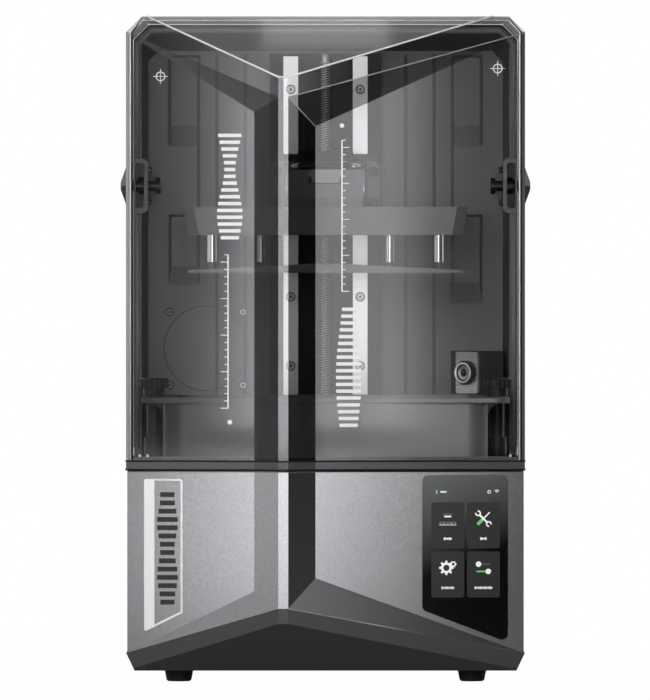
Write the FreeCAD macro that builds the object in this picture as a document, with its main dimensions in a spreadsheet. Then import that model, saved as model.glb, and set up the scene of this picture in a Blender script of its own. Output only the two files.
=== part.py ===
import FreeCAD, Part
import math
import os
import re
import Sketcher
from FreeCAD import Placement, Rotation, Vector

doc = FreeCAD.newDocument("ResinPrinter")

# Driving dimensions, in millimetres and degrees
# X runs to the right, Y to the back and Z up, from the floor below the middle of the casing
dimensions = {
    # how far cutting tools run past a face, a little and a lot
    "skim": 1,
    "overshoot": 60,
    # casing plan, with its prow left of the middle
    "half_width": 163,
    "front_y": -140,
    "back_y": 165,
    "prow_reach": 25,
    "crest_left": -38.7,
    "crest_right": -30.5,
    "left_fold": -58.5,
    "left_reach": 12,
    "right_fold": -8.2,
    "right_reach": 13,
    # base heights and walls
    "foot_height": 10,
    "foot_tip": 10.3,
    "foot_root": 12,
    "foot_edge": 1.2,
    "foot_x": 121,
    "foot_front": -104,
    "foot_rear": 132,
    "base_wall": 3,
    "front_wall": 4,
    "base_top": 174,
    "base_flange": 12,
    "seam_side": 24.6,
    "seam_crest": 61.8,
    "left_fold_low": 75.6,
    "right_fold_low": 86.5,
    "keel_crest": 49.4,
    "pan_lip": 1,
    "pan_taper": 6,
    "pan_wall": 5,
    "pan_front_wall": 7,
    "pan_slot_width": 4,
    "pan_slot_pitch": 9,
    "pan_slot_half": 30,
    # openings in the back of the base
    "vent_x": 105,
    "vent_pitch": 9,
    "vent_width": 4,
    "vent_low": 70,
    "vent_high": 130,
    "socket_low": 36,
    "socket_high": 56,
    "inlet_left": -39,
    "inlet_right": -19,
    "inlet_depth": 14,
    "inlet_bore": 7,
    "inlet_bore_depth": 10,
    "inlet_pin": 1.2,
    "inlet_pin_length": 9,
    "switch_left": -6,
    "switch_right": 16,
    "switch_depth": 12,
    "switch_well": 9,
    "switch_side_rim": 1.5,
    "switch_end_rim": 3,
    "rocker_half": 8,
    "rocker_height": 13.4,
    "rocker_back": 5.4,
    "rocker_low": 2.4,
    "rocker_middle": 2.2,
    "rocker_high": 0.4,
    "rocker_axis": 4,
    "rocker_pin": 1.3,
    "rocker_pin_play": 0.06,
    "rocker_pin_length": 17.2,
    "usb_left": 37,
    "usb_right": 53,
    "usb_low": 40,
    "usb_high": 52,
    "usb_depth": 16,
    "usb_mouth_depth": 12,
    "usb_side": 2,
    "usb_wall": 1.5,
    "tongue_low": 47.2,
    "tongue_high": 49.2,
    "tongue_side": 2.5,
    "tongue_back": 13,
    "tongue_front": 2,
    # touch screen and badge, each on its own front panel
    "screen_left": 79.5,
    "screen_right": 149.9,
    "screen_top": 170.8,
    "screen_low_left": 60.2,
    "screen_low_right": 33.4,
    "screen_round": 5,
    "screen_depth": 2.5,
    "screen_proud": 0.6,
    "screen_gap": 0.3,
    "display_margin": 4,
    "display_high": 160,
    "display_low": 68,
    "display_gap": 4.2,
    "display_depth": 6,
    "plate_round": 1.5,
    "badge_left": -149,
    "badge_right": -117.4,
    "badge_top": 167.7,
    "badge_low_left": 42,
    "badge_low_right": 57.7,
    "badge_depth": 0.8,
    # deck and exposure screen
    "deck_top": 182,
    "deck_margin": 4.5,
    "deck_lip": 3.5,
    "deck_lip_width": 2.5,
    "deck_lip_end": 40,
    "bed_y": -22,
    "lcd_half_length": 117.5,
    "lcd_half_width": 71.5,
    "lcd_depth": 4,
    "lcd_sunk": 0.2,
    "lcd_gap": 0.5,
    "lcd_ledge": 5,
    "shaft_hole": 5.5,
    # lid
    "lid_half_width": 164,
    "lid_wall": 2.4,
    "lid_bottom": 175,
    "rim_wall": 2.8,
    "rim_top": 182.5,
    "lid_top": 548,
    "lid_crest": 497.7,
    "brow_start": 3.4,
    "band_crest": 481,
    "band_side": 534.5,
    "left_fold_high": 469,
    "right_fold_high": 457.4,
    "lid_corner": 13,
    "lid_rear_low": 60,
    "lid_rear_high": 90,
    # lid hinge
    "hinge_y": 60,
    "hinge_z": 410,
    "pin_radius": 4.5,
    "pin_play": 0.05,
    "pin_inner": 139,
    "pin_outer": 163.6,
    "nut_radius": 7,
    "nut_length": 4,
    "collar_inner": 152.5,
    "collar_length": 5,
    "bracket_outer": 161,
    "bracket_inner": 149.3,
    "bracket_half_height": 23,
    "bracket_front": 42,
    "bracket_rear": 78,
    "bracket_back": 8,
    "bracket_bevel": 3,
    "bracket_skin": 3.2,
    "bracket_rim": 1.2,
    "bracket_slot_half": 19.5,
    "bracket_round": 3,
    "cap_half_height": 27,
    "cap_half_width": 20,
    "cap_proud": 8.5,
    "cap_tip": 0.12,
    # rear tower
    "flange_front": 44,
    "flange_rear": 50,
    "flange_half_width": 161,
    "tower_half_width": 160.2,
    "tower_wall": 3,
    "tower_top": 543.6,
    "tower_back": 162,
    "tower_bevel": 13,
    "crown_y": 75,
    "shoulder_y": 118,
    "shoulder_drop": 14,
    "nape_y": 150,
    "nape_drop": 38,
    "back_drop": 58,
    "rear_vent_left": -130,
    "rear_vent_width": 6,
    "rear_vent_span": 60,
    "rear_vent_low": 235,
    "rear_vent_high": 300,
    "liner_half_width": 154.6,
    "liner_ceiling": 538,
    "liner_wall": 2.2,
    "liner_bevel": 9,
    "liner_back_bevel": 12,
    "panel_half_width": 150,
    "panel_ceiling": 524.5,
    "panel_y": 105,
    "panel_depth": 6,
    "groove_inner": 68,
    "groove_outer": 92,
    "groove_width": 2.4,
    "groove_depth": 3.5,
    "groove_rise": 40,
    "groove_gap": 1,
    "scoop_inner": 106,
    "scoop_outer": 132.8,
    "scoop_depth": 4.8,
    "scoop_lip": 2.2,
    "upper_scoop_high": 521,
    "upper_scoop_shelf": 461,
    "upper_scoop_low": 443.5,
    "lower_scoop_high": 386,
    "left_scoop_shelf": 342,
    "left_scoop_low": 326.5,
    "right_scoop_shelf": 328,
    "right_scoop_low": 311,
    "cover_x": -101.7,
    "cover_z": 273,
    "cover_radius": 36.5,
    "cover_depth": 3,
    "cover_gap": 0.3,
    # vertical axis
    "column_half_width": 47,
    "column_front": 88,
    "column_wall": 4,
    "column_top": 522,
    "rail_x": 29.3,
    "rail_half_width": 6.2,
    "rail_depth": 8,
    "rail_bottom": 200,
    "rail_top": 519.5,
    "rail_waist": 0.9,
    "rail_lip": 2.2,
    "rail_waist_start": 3.2,
    "rail_waist_end": 4.6,
    "rail_flare": 5.6,
    "rail_hole_low": 258,
    "rail_hole_span": 233.6,
    "rail_sink": 3,
    "rail_sink_depth": 4.5,
    "slide_play": 0.08,
    "rail_block_half": 14.5,
    "rail_block_end": 3,
    "rail_block_rise": 6,
    "screw_y": 81.5,
    "screw_radius": 4,
    "screw_play": 0.06,
    "screw_top": 522,
    "screw_gap": 0.3,
    "coupler_radius": 9,
    "seat_half": 15,
    "seat_front": 5.5,
    "seat_height": 10,
    "bearing_radius": 6.4,
    "bearing_height": 4,
    "nut_half": 11,
    "nut_low": 394,
    "nut_high": 428,
    "carriage_low": 388,
    "carriage_high": 431,
    "carriage_half_width": 46,
    "carriage_rear": 75,
    "carriage_front": 67,
    "carriage_bevel": 4,
    # arm and its lever
    "arm_front": -30,
    "arm_low": 391.6,
    "arm_high": 439,
    "arm_knee_y": 32,
    "arm_slope_y": 2,
    "arm_slope_z": 430,
    "arm_nose": 426.5,
    "arm_round": 4.5,
    "arm_half_rear": 34.5,
    "arm_half_front": 32,
    "shoulder_inner": 22,
    "shoulder_outer": 27,
    "shoulder_z": 429,
    "dovetail_half_low": 10,
    "dovetail_half_high": 13.4,
    "dovetail_height": 7,
    "dovetail_play": 0.3,
    "dovetail_flare": 0.6,
    "dovetail_length": 66,
    "lug_inner": 13.4,
    "lug_outer": 16,
    "lug_reach": 8,
    "lug_below": 4,
    "lug_above": 3,
    "lever_y": -34,
    "lever_z": 419.5,
    "lever_pin": 1.5,
    "lever_half": 13,
    "lever_tip_half": 11,
    "lever_drop": 7.5,
    "lever_thick": 3.6,
    "lever_head_front": 2.6,
    "lever_head_rear": 2.2,
    "lever_head_low": 1,
    "lever_head_high": 3.5,
    "lever_head_edge": 1.2,
    # build platform
    "block_half_top": 118,
    "block_half_low": 114,
    "block_half_depth": 60,
    "block_draft": 2,
    "block_low": 368.4,
    "block_corner": 9,
    "block_wall": 5,
    "boss_wall": 4,
    "boss_lip": 1,
    "pillar_radius": 4,
    "pillar_head": 1.2,
    "pillar_head_room": 0.4,
    "pillar_head_height": 4,
    "pillar_stop": 9,
    "pillar_room": 10,
    "pillar_outer_x": 94,
    "pillar_inner_x": 54,
    "pillar_y": 40,
    "pillar_foot": 346,
    "pillar_seat": 3,
    "plate_half_length": 113.5,
    "plate_half_width": 65,
    "plate_low": 337,
    "plate_edge": 2.5,
    "plate_crown": 7.5,
    "plate_flat": 10,
    # resin vat
    "vat_half_length": 134,
    "vat_half_width": 90,
    "vat_round": 16,
    "vat_rim_low": 229.5,
    "vat_rim_high": 234,
    "vat_rim_half": 152,
    "vat_rim_front": 94,
    "vat_rim_rear": 92,
    "vat_rim_round": 12,
    "vat_ear": 52,
    "vat_ear_step": 12,
    "vat_cavity_half": 124,
    "vat_cavity_width": 78,
    "vat_cavity_round": 10,
    "rib_size": 14,
    "rib_thick": 4,
    "rib_front": -62,
    "rib_rear": 14,
    "film_half_length": 129,
    "film_half_width": 83,
    "film_opening": 11,
    "film_recess": 4,
    "film_gap": 0.3,
    "film_thick": 0.4,
    "knob_x": 143,
    "knob_radius": 12.5,
    "knob_edge": 1.5,
    "knob_neck": 9,
    "knob_neck_height": 7,
    "knob_height": 15.5,
    "knob_stud": 3,
    "knob_stud_length": 18,
    "knob_flute": 1.6,
    "knob_flute_out": 0.8,
    "post_radius": 6,
    "post_foot": 8,
    "post_foot_height": 18,
    "post_bore_depth": 16,
    # camera in the corner of the chamber
    "camera_yaw": 40,
    "camera_low": 233.8,
    "camera_high": 270.8,
    "camera_left": 106,
    "camera_knee": 95,
    "camera_side_gap": 0.3,
    "camera_middle": 18.8,
    "camera_face_half": 11.7,
    "camera_face_tall": 17.5,
    "camera_face_round": 2,
    "camera_face_thick": 2,
    "lens_shift": 0.5,
    "lens_flange": 10.3,
    "lens_flange_length": 4,
    "lens_radius": 8.8,
    "lens_length": 5.5,
    "lens_mouth": 6.5,
    "lens_throat": 4,
    "lens_sunk": 3,
    # light source, fan and drive inside the base
    "light_wall": 2.5,
    "led_half_length": 62,
    "led_half_width": 47,
    "led_z": 100,
    "led_thick": 2,
    "sink_thick": 6,
    "fin_pitch": 10,
    "fin_thick": 2,
    "fan_half": 40,
    "fan_bore": 37,
    "fan_low": 45,
    "fan_depth": 16,
    "fan_floor": 2,
    "fan_bar": 6,
    "fan_boss": 15,
    "hub_radius": 16,
    "hub_low": 2.4,
    "hub_height": 11.5,
    "blade_start": 14,
    "blade_length": 21,
    "blade_low": 3.2,
    "blade_high": 12.8,
    "blade_tail": -11,
    "blade_tip": 6.6,
    "blade_thick": 1.4,
    "motor_half": 21,
    "motor_low": 125,
    "motor_high": 165,
    "mount_half": 25,
    "mount_bore": 11,
    # main board
    "board_left": -140,
    "board_right": -30,
    "board_front": 60,
    "board_back": 140,
    "board_rise": 8,
    "board_thick": 1.6,
    "board_inset": 6,
    "stand_radius": 3.5,
    "chip_x": 80,
    "chip_y": 50,
    "chip_half": 15,
    "chip_half_depth": 10,
    "chip_height": 5,
    "relay_x": 40,
    "relay_y": 35,
    "relay_half": 10,
    "relay_half_depth": 10,
    "relay_height": 9,
    "socket_x": 7,
    "socket_y": 40,
    "socket_half": 5,
    "socket_half_depth": 30,
    "socket_height": 11,
}
sheet = doc.addObject("Spreadsheet::Sheet", "Dimensions")
for row, (alias, value) in enumerate(dimensions.items(), start=1):
    sheet.set(f"A{row}", str(value))
    sheet.setAlias(f"A{row}", alias)
doc.recompute()

pieces = []
sides = {"left": -1, "right": 1}
turns = {
    "x": Rotation(Vector(0, 1, 0), 90),
    "y": Rotation(Vector(1, 0, 0), -90),
    "z": Rotation(),
}


# Formulas are written with the names in the sheet
def bound(formula):
    def cell(word):
        return f"Dimensions.{word[0]}" if word[0] in dimensions else word[0]

    return re.sub(r"[a-z][a-z0-9_]*", cell, str(formula))


def size(formula):
    return float(sheet.evalExpression(bound(formula)))


def around(middle, half):
    return (f"{middle} - ({half})", f"{middle} + {half}")


def across(half):
    return (f"-({half})", half)


# A stretch on the right of the middle, or its mirror image on the left
def stretch(side, near, far):
    return (near, far) if side > 0 else (f"-({far})", f"-({near})")


def named(label, item):
    item.Label = label
    pieces.append(item)
    return item


# Primitives and booleans
def locate(item, x, y, z):
    for axis, formula in zip("xyz", (x, y, z)):
        item.setExpression(f"Placement.Base.{axis}", bound(formula))


def block(x, y, z):
    item = doc.addObject("Part::Box", "Block")
    for side, (low, high) in zip(("Length", "Width", "Height"), (x, y, z)):
        item.setExpression(side, bound(f"({high}) - ({low})"))
    locate(item, x[0], y[0], z[0])
    return item


def rod(axis, start, radius, length):
    item = doc.addObject("Part::Cylinder", "Rod")
    item.Placement = Placement(Vector(), turns[axis])
    item.setExpression("Radius", bound(radius))
    item.setExpression("Height", bound(length))
    locate(item, *start)
    return item


def cut(base, *tools):
    for tool in tools:
        item = doc.addObject("Part::Cut", "Cut")
        item.Base = base
        item.Tool = tool
        base = item
    return base


def join(*items):
    item = doc.addObject("Part::MultiFuse", "Join")
    item.Shapes = list(items)
    item.Refine = True
    return item


def group(*items):
    item = doc.addObject("Part::Compound", "Group")
    item.Links = list(items)
    return item


def shaped(shape):
    item = doc.addObject("Part::Feature", "Form")
    item.Shape = shape
    item.Placement = Placement()
    return item


# Sketched bodies
def body(label):
    return named(label, doc.addObject("PartDesign::Body", "Body"))


def origin(owner, role):
    return next(item for item in owner.Origin.OriginFeatures if item.Role == role)


def sketch(owner, plane, offset=0):
    item = owner.newObject("Sketcher::SketchObject", "Sketch")
    item.AttachmentSupport = (origin(owner, plane + "_Plane"), [""])
    item.MapMode = "FlatFace"
    item.setExpression("AttachmentOffset.Base.z", bound(offset))
    return item


def pin_down(target, geometry, spot, x, y):
    for kind, formula in (("DistanceX", x), ("DistanceY", y)):
        rule = Sketcher.Constraint(kind, -1, 1, geometry, spot, size(formula))
        index = target.addConstraint(rule)
        target.setExpression(f"Constraints[{index}]", bound(formula))


def outline(target, *corners):
    first = target.GeometryCount
    count = len(corners)
    spots = [Vector(size(x), size(y), 0) for x, y in corners]
    for n in range(count):
        target.addGeometry(Part.LineSegment(spots[n], spots[(n + 1) % count]))
    for n, (x, y) in enumerate(corners):
        rule = Sketcher.Constraint("Coincident", first + n, 2, first + (n + 1) % count, 1)
        target.addConstraint(rule)
        pin_down(target, first + n, 1, x, y)
    return target


def rectangle(target, x, y):
    return outline(target, (x[0], y[0]), (x[1], y[0]), (x[1], y[1]), (x[0], y[1]))


# A profile on the right of the middle, closed by its mirror image
def mirrored(target, *right):
    left = [(f"-({x})", y) for x, y in reversed(right)]
    return outline(target, *right, *left)


def circle(target, x, y, radius):
    ring = Part.Circle(Vector(size(x), size(y), 0), Vector(0, 0, 1), size(radius))
    index = target.addGeometry(ring)
    pin_down(target, index, 3, x, y)
    rule = target.addConstraint(Sketcher.Constraint("Radius", index, size(radius)))
    target.setExpression(f"Constraints[{rule}]", bound(radius))
    return target


def extrude(owner, kind, profile, length=None, symmetric=False, reverse=False):
    item = owner.newObject("PartDesign::" + kind, kind)
    item.Profile = profile
    item.Reversed = reverse
    if symmetric:
        item.SideType = "Symmetric"
    if length is None:
        item.Type = "ThroughAll"
    else:
        item.setExpression("Length", bound(length))
    return item


def revolve(owner, profile):
    item = owner.newObject("PartDesign::Revolution", "Revolution")
    item.Profile = profile
    item.ReferenceAxis = (profile, ["V_Axis"])
    item.Angle = 360
    return item


def soften(owner, kind, amount, wanted):
    doc.recompute()
    base = owner.Tip
    edges = [f"Edge{n}" for n, edge in enumerate(base.Shape.Edges, 1) if wanted(edge)]
    item = owner.newObject("PartDesign::" + kind, kind)
    item.Base = (base, edges)
    item.setExpression("Radius" if kind == "Fillet" else "Size", bound(amount))
    return item


def round_pattern(owner, feature, count):
    item = owner.newObject("PartDesign::PolarPattern", "Around")
    item.Originals = [feature]
    item.Axis = (origin(owner, "Z_Axis"), [""])
    item.Angle = 360
    item.Occurrences = count
    owner.Tip = item
    return item


def row_pattern(owner, feature, axis, length, count):
    item = owner.newObject("PartDesign::LinearPattern", "Row")
    item.Originals = [feature]
    item.Direction = (origin(owner, axis + "_Axis"), [""])
    item.setExpression("Length", bound(length))
    item.Occurrences = count
    owner.Tip = item
    return item


def upright(edge):
    ends = edge.Vertexes
    return len(ends) == 2 and ends[0].Point.sub(ends[1].Point).cross(Vector(0, 0, 1)).Length < 1e-6


# Flat-sided solids
def filled(ring, travel):
    return Part.Face(Part.makePolygon(ring + ring[:1])).extrude(travel)


def side_prism(profile, half_width):
    return filled([Vector(-half_width, y, z) for y, z in profile], Vector(2 * half_width, 0, 0))


def front_prism(profile, low, high):
    return filled([Vector(x, low, z) for x, z in profile], Vector(0, high - low, 0))


def plan_prism(plan, low, high):
    return filled([Vector(x, y, low) for x, y in plan], Vector(0, 0, high - low))


# Solid between two rings of corners whose sides are flat
def between(low_ring, high_ring):
    count = len(low_ring)
    walls = [[low_ring[n], low_ring[n - 1], high_ring[n - 1], high_ring[n]] for n in range(count)]
    faces = [Part.Face(Part.makePolygon(ring + ring[:1])) for ring in [low_ring, high_ring] + walls]
    solid = Part.Solid(Part.Shell(faces))
    if solid.Volume < 0:
        solid.reverse()
    return solid


def rounded_ring(spots, rounding):
    edges = []
    stops = []
    for n, spot in enumerate(spots):
        before = (spots[n - 1] - spot).normalize()
        after = (spots[(n + 1) % len(spots)] - spot).normalize()
        half = before.getAngle(after) / 2
        reach = rounding / math.tan(half)
        middle = (before + after).normalize() * (rounding / math.sin(half) - rounding)
        stops.append((spot + before * reach, spot + middle, spot + after * reach))
    for n, (first, middle, last) in enumerate(stops):
        edges.append(Part.Arc(first, middle, last).toShape())
        edges.append(Part.LineSegment(last, stops[(n + 1) % len(stops)][0]).toShape())
    return Part.Wire(edges)


# Faceted casing: a straight prow, a recess on each side of its crest, and slanted ends to the recesses
def prow_plan(half_width, inset, folded):
    front = size("front_y") + inset
    folds = [
        (size("left_fold"), front - size("left_reach")),
        (size("crest_left"), front - size("prow_reach")),
        (size("crest_right"), front - size("prow_reach")),
        (size("right_fold"), front - size("right_reach")),
    ]
    middle = folds if folded else folds[1:3]
    return [(-half_width, front)] + middle + [(half_width, front)]


def prow_prism(half_width, inset, back, low, high, folded=True):
    plan = prow_plan(half_width, inset, folded) + [(half_width, back), (-half_width, back)]
    return plan_prism(plan, low, high)


def recesses(half_width, inset, side_z, crest_z, left_z, right_z, far_z):
    left, crest_left, crest_right, right = prow_plan(half_width, inset, False)
    folds = prow_plan(half_width, inset, True)
    wedges = []
    for side, crest, fold, fold_z in (
        (left, crest_left, folds[1], left_z),
        (right, crest_right, folds[4], right_z),
    ):
        facet = [Vector(*side, side_z), Vector(*crest, crest_z), Vector(*fold, fold_z)]
        wedges.append(between(facet, [Vector(spot.x, spot.y, far_z) for spot in facet]))
    return wedges


# Plates that lie on a front panel, given by their corners as X and Z
def panel_plate(inner, outer, corners, rounding, below, above):
    start, end = [Vector(*spot, 0) for spot in (inner, outer)]
    along = end.sub(start).normalize()
    normal = Vector(along.y, -along.x, 0)
    spots = []
    for x, z in corners:
        on_panel = start + along * ((x - start.x) / along.x)
        spots.append(on_panel + Vector(0, 0, z) - normal * below)
    return Part.Face(rounded_ring(spots, rounding)).extrude(normal * (below + above))


def right_panel(corners, rounding, below, above):
    plan = prow_plan(size("half_width"), 0, True)
    return panel_plate(plan[4], plan[5], corners, rounding, below, above)


def left_panel(corners, rounding, below, above):
    plan = prow_plan(size("half_width"), 0, True)
    return panel_plate(plan[0], plan[1], corners, rounding, below, above)


def screen_corners(grow):
    return [
        (size("screen_left") - grow, size("screen_top") + grow),
        (size("screen_right") + grow, size("screen_top") + grow),
        (size("screen_right") + grow, size("screen_low_right") - grow),
        (size("screen_left") - grow, size("screen_low_left") - grow),
    ]


# Region below the seam between casing and floor pan
def below_seam():
    front = size("front_y")
    back = size("back_y + base_wall")
    side = size("seam_side")
    reach = size("prow_reach + base_wall")
    crest = side + (size("seam_crest") - side) / size("prow_reach") * reach
    profile = [(back, 0), (back, side), (front, side), (front - reach, crest), (front - reach, 0)]
    return side_prism(profile, size("lid_half_width + base_wall"))


def base_housing():
    half_width = size("half_width")
    back = size("back_y")
    top = size("base_top")
    wall = size("base_wall")
    flange = size("base_flange")
    shape = prow_prism(half_width, 0, back, size("foot_height"), top, folded=False)
    shape = shape.cut(below_seam())
    facets = [size(name) for name in ("seam_side", "seam_crest", "left_fold_low", "right_fold_low")]
    for wedge in recesses(half_width, 0, *facets, top + wall):
        shape = shape.cut(wedge)
    shape = shape.cut(prow_prism(half_width - wall, size("front_wall"), back - wall, 0, top - wall))
    shape = shape.cut(prow_prism(half_width - flange, flange, back - flange, 0, top + wall))
    hole = screen_corners(size("screen_gap"))
    shape = shape.cut(right_panel(hole, size("screen_round"), size("screen_depth"), wall))
    behind = ("back_y - 2 * base_wall", "back_y + base_wall")
    openings = [
        block(("inlet_left", "inlet_right"), behind, ("socket_low", "socket_high")),
        block(("switch_left", "switch_right"), behind, ("socket_low", "socket_high")),
        block(("usb_left", "usb_right"), behind, ("usb_low", "usb_high")),
    ]
    for side in sides.values():
        for n in range(-3, 4):
            slot = around(f"{side} * vent_x + ({n}) * vent_pitch", "vent_width / 2")
            openings.append(block(slot, behind, ("vent_low", "vent_high")))
    named("base_housing", cut(shaped(shape), join(*openings)))


def floor_pan():
    half_width = size("half_width + pan_lip")
    front = size("front_y")
    back = size("back_y")
    low = size("foot_height")
    far = size("overshoot")
    reach = size("prow_reach + base_wall")
    keel_z = low + (size("keel_crest") - low) / size("prow_reach") * reach
    shape = prow_prism(half_width, 0, back, low, size("base_top"), folded=False).common(below_seam())
    keel = [(front, low), (front - reach, keel_z), (front - reach, 0), (front, 0)]
    shape = shape.cut(side_prism(keel, half_width + far))
    for side in sides.values():
        edge = side * half_width
        taper = [(edge, size("seam_side")), (edge, low), (side * size("half_width - pan_taper"), low)]
        shape = shape.cut(front_prism(taper, front - far, back + far))
    inside = across("half_width - pan_wall")
    tray = block(inside, ("front_y + pan_front_wall", "back_y - pan_wall"),
                 ("foot_height + base_wall", "seam_side + foot_height"))
    slots = []
    for n in range(-4, 5):
        slot = around(f"({n}) * pan_slot_pitch", "pan_slot_width / 2")
        slots.append(block(slot, around("bed_y", "pan_slot_half"), (0, "seam_side")))
    named("floor_pan", cut(shaped(shape), tray, join(*slots)))


def foot(label, x, y):
    owner = body(label)
    profile = sketch(owner, "XZ")
    outline(profile, (0, 0), ("foot_tip - foot_edge", 0), ("foot_tip", "foot_edge"),
            ("foot_root", "foot_height"), (0, "foot_height"))
    revolve(owner, profile)
    locate(owner, x, y, 0)


def feet():
    for row, y in (("front", "foot_front"), ("rear", "foot_rear")):
        for label, side in sides.items():
            foot(f"foot_{row}_{label}", f"{side} * foot_x", y)


def front_fittings():
    glass = screen_corners(0)
    depth = size("screen_depth")
    named("touch_screen", shaped(right_panel(glass, size("screen_round"), depth, size("screen_proud"))))
    left = size("screen_left + display_margin")
    right = size("screen_right - display_margin")
    low, high = size("display_low"), size("display_high")
    display = [(left, high), (right, high), (right, low), (left, low)]
    gap = size("display_gap")
    rounding = size("plate_round")
    named("display_module", shaped(right_panel(display, rounding, gap + size("display_depth"), -gap)))
    badge = [
        (size("badge_left"), size("badge_low_left")),
        (size("badge_right"), size("badge_low_right")),
        (size("badge_right"), size("badge_top")),
        (size("badge_left"), size("badge_top")),
    ]
    named("badge_plate", shaped(left_panel(badge, rounding, 0, size("badge_depth"))))


# The deck has a raised lip around the front, inside the lid
def deck():
    margin = size("deck_margin")
    half_width = size("lid_half_width") - margin
    low, top = size("base_top"), size("deck_top")
    lip_width = size("deck_lip_width")
    lip_top = top + size("deck_lip")
    lip_end = size("deck_lip_end")
    plate = prow_prism(half_width, margin, size("back_y - skim"), low, top)
    lip = prow_prism(half_width, margin, lip_end, low, lip_top)
    inside = prow_prism(half_width - lip_width, margin + lip_width, size("back_y"), 0, lip_top + low)
    plate = plate.fuse(lip.cut(inside)).removeSplitter()
    seat = block(across("lcd_half_length + lcd_gap"), around("bed_y", "lcd_half_width + lcd_gap"),
                 ("deck_top - lcd_depth", "deck_top + skim"))
    window = block(across("lcd_half_length - lcd_ledge"), around("bed_y", "lcd_half_width - lcd_ledge"),
                   (0, "deck_top"))
    shaft = rod("z", (0, "screw_y", "base_top - skim"), "shaft_hole", "overshoot")
    named("deck_plate", cut(shaped(plate), seat, window, shaft))
    named("lcd_panel", block(across("lcd_half_length"), around("bed_y", "lcd_half_width"),
                             ("deck_top - lcd_depth", "deck_top - lcd_sunk")))


# Lid: the prow, cut by a brow, by a recess on each side of the crest, at its top corners and at the back
def lid_solid(half_width, inset, top, low, rear_low, rear_high):
    past = size("overshoot")
    front = size("front_y") + inset
    crown = size("lid_top")
    foot_z = size("lid_bottom")
    shape = prow_prism(half_width, inset, size("back_y"), low, top, folded=False)
    brow_y = front - size("brow_start")
    rise = (crown - size("lid_crest")) / size("prow_reach - brow_start") * past
    brow = [(brow_y + past, crown + rise), (brow_y - past, crown - rise), (brow_y - past, crown + rise)]
    shape = shape.cut(side_prism(brow, half_width + past))
    facets = [size(name) for name in ("band_side", "band_crest", "left_fold_high", "right_fold_high")]
    for wedge in recesses(half_width, inset, *facets, low - past):
        shape = shape.cut(wedge)
    corner = size("lid_corner")
    for side in sides.values():
        near, far = side * (half_width - corner), side * (half_width + corner)
        bevel = [(near, top), (far, top - 2 * corner), (far, top)]
        shape = shape.cut(front_prism(bevel, front - past, size("back_y") + past))
    lean = (rear_high - rear_low) / (crown - foot_z)
    tail_y = rear_low + lean * (low - past - foot_z)
    head_y = rear_low + lean * (crown + past - foot_z)
    far_y = size("back_y") + past
    behind = [(tail_y, low - past), (head_y, crown + past), (far_y, crown + past), (far_y, low - past)]
    return shape.cut(side_prism(behind, half_width + past))


def lid():
    wall = size("lid_wall")
    half_width = size("lid_half_width")
    top = size("lid_top")
    low = size("rim_top")
    past = size("back_y")
    rear_low, rear_high = size("lid_rear_low"), size("lid_rear_high")
    outer = lid_solid(half_width, 0, top, low, rear_low, rear_high)
    inner = lid_solid(half_width - wall, wall, top - wall, low - past, past, past)
    bore = rod("x", ("-lid_half_width - skim", "hinge_y", "hinge_z"), "pin_radius + pin_play",
               "2 * lid_half_width + 2 * skim")
    named("lid_shell", cut(shaped(outer.cut(inner)), bore))
    rim = size("rim_wall")
    ring = prow_prism(half_width, 0, rear_low, size("lid_bottom"), low)
    hollow = prow_prism(half_width - rim, rim, past, 0, top)
    named("lid_rim", shaped(ring.cut(hollow)))


# Hinge: a slotted bracket on the tower, a pin through the lid's wall and a cap outside
def hinge(label, side):
    middle = size("hinge_z")
    half = size("bracket_half_height")
    bevel = size("bracket_bevel")
    outer, inner = size("bracket_outer"), size("bracket_inner")
    front = size("bracket_front")
    profile = [(outer, half), (inner + bevel, half), (inner, half - bevel), (inner, bevel - half),
               (inner + bevel, -half), (outer, -half)]
    spots = [(side * x, middle + z) for x, z in profile]
    shell = front_prism(spots, front, size("bracket_rear"))
    near, far = size("bracket_inner + bracket_skin"), size("bracket_outer - bracket_rim")
    tall = size("bracket_slot_half")
    start = front - size("skim")
    corners = [(near, -tall), (far, -tall), (far, tall), (near, tall)]
    ring = rounded_ring([Vector(side * x, start, middle + z) for x, z in corners], size("bracket_round"))
    slot = Part.Face(ring).extrude(Vector(0, size("bracket_rear - bracket_back") - start, 0))

    def axle(near_x, far_x, radius):
        low_x = stretch(side, near_x, far_x)[0]
        return rod("x", (low_x, "hinge_y", "hinge_z"), radius, f"{far_x} - ({near_x})")

    bore = axle("pin_inner", "pin_outer", "pin_radius")
    named(f"hinge_bracket_{label}", cut(shaped(shell.cut(slot)), bore))
    shaft = axle("pin_inner", "pin_outer", "pin_radius")
    nut = axle("pin_inner", "pin_inner + nut_length", "nut_radius")
    collar = axle("collar_inner", "collar_inner + collar_length", "nut_radius")
    named(f"hinge_pin_{label}", join(shaft, nut, collar))
    face = size("lid_half_width")
    tip = size("cap_tip")
    rings = []
    for scale, out in ((1, face), (tip, face + size("cap_proud"))):
        tall = size("cap_half_height") * scale
        wide = size("cap_half_width") * scale
        diamond = [(-wide, 0), (0, tall), (wide, 0), (0, -tall)]
        rings.append([Vector(side * out, size("hinge_y") + y, middle + z) for y, z in diamond])
    named(f"hinge_cap_{label}", shaped(between(*rings)))


# Where a hinge bracket passes through the side walls of the tower
def bracket_notch(side):
    return block(stretch(side, "panel_half_width - 2 * skim", "lid_half_width"),
                 ("bracket_front - skim", "bracket_rear"), around("hinge_z", "bracket_half_height"))


def liner_section(half_width, y, ceiling, bottom, bevel):
    right = [(half_width, bottom), (half_width, ceiling - bevel), (half_width - bevel, ceiling)]
    return [Vector(x, y, z) for x, z in right] + [Vector(-x, y, z) for x, z in reversed(right)]


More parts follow.
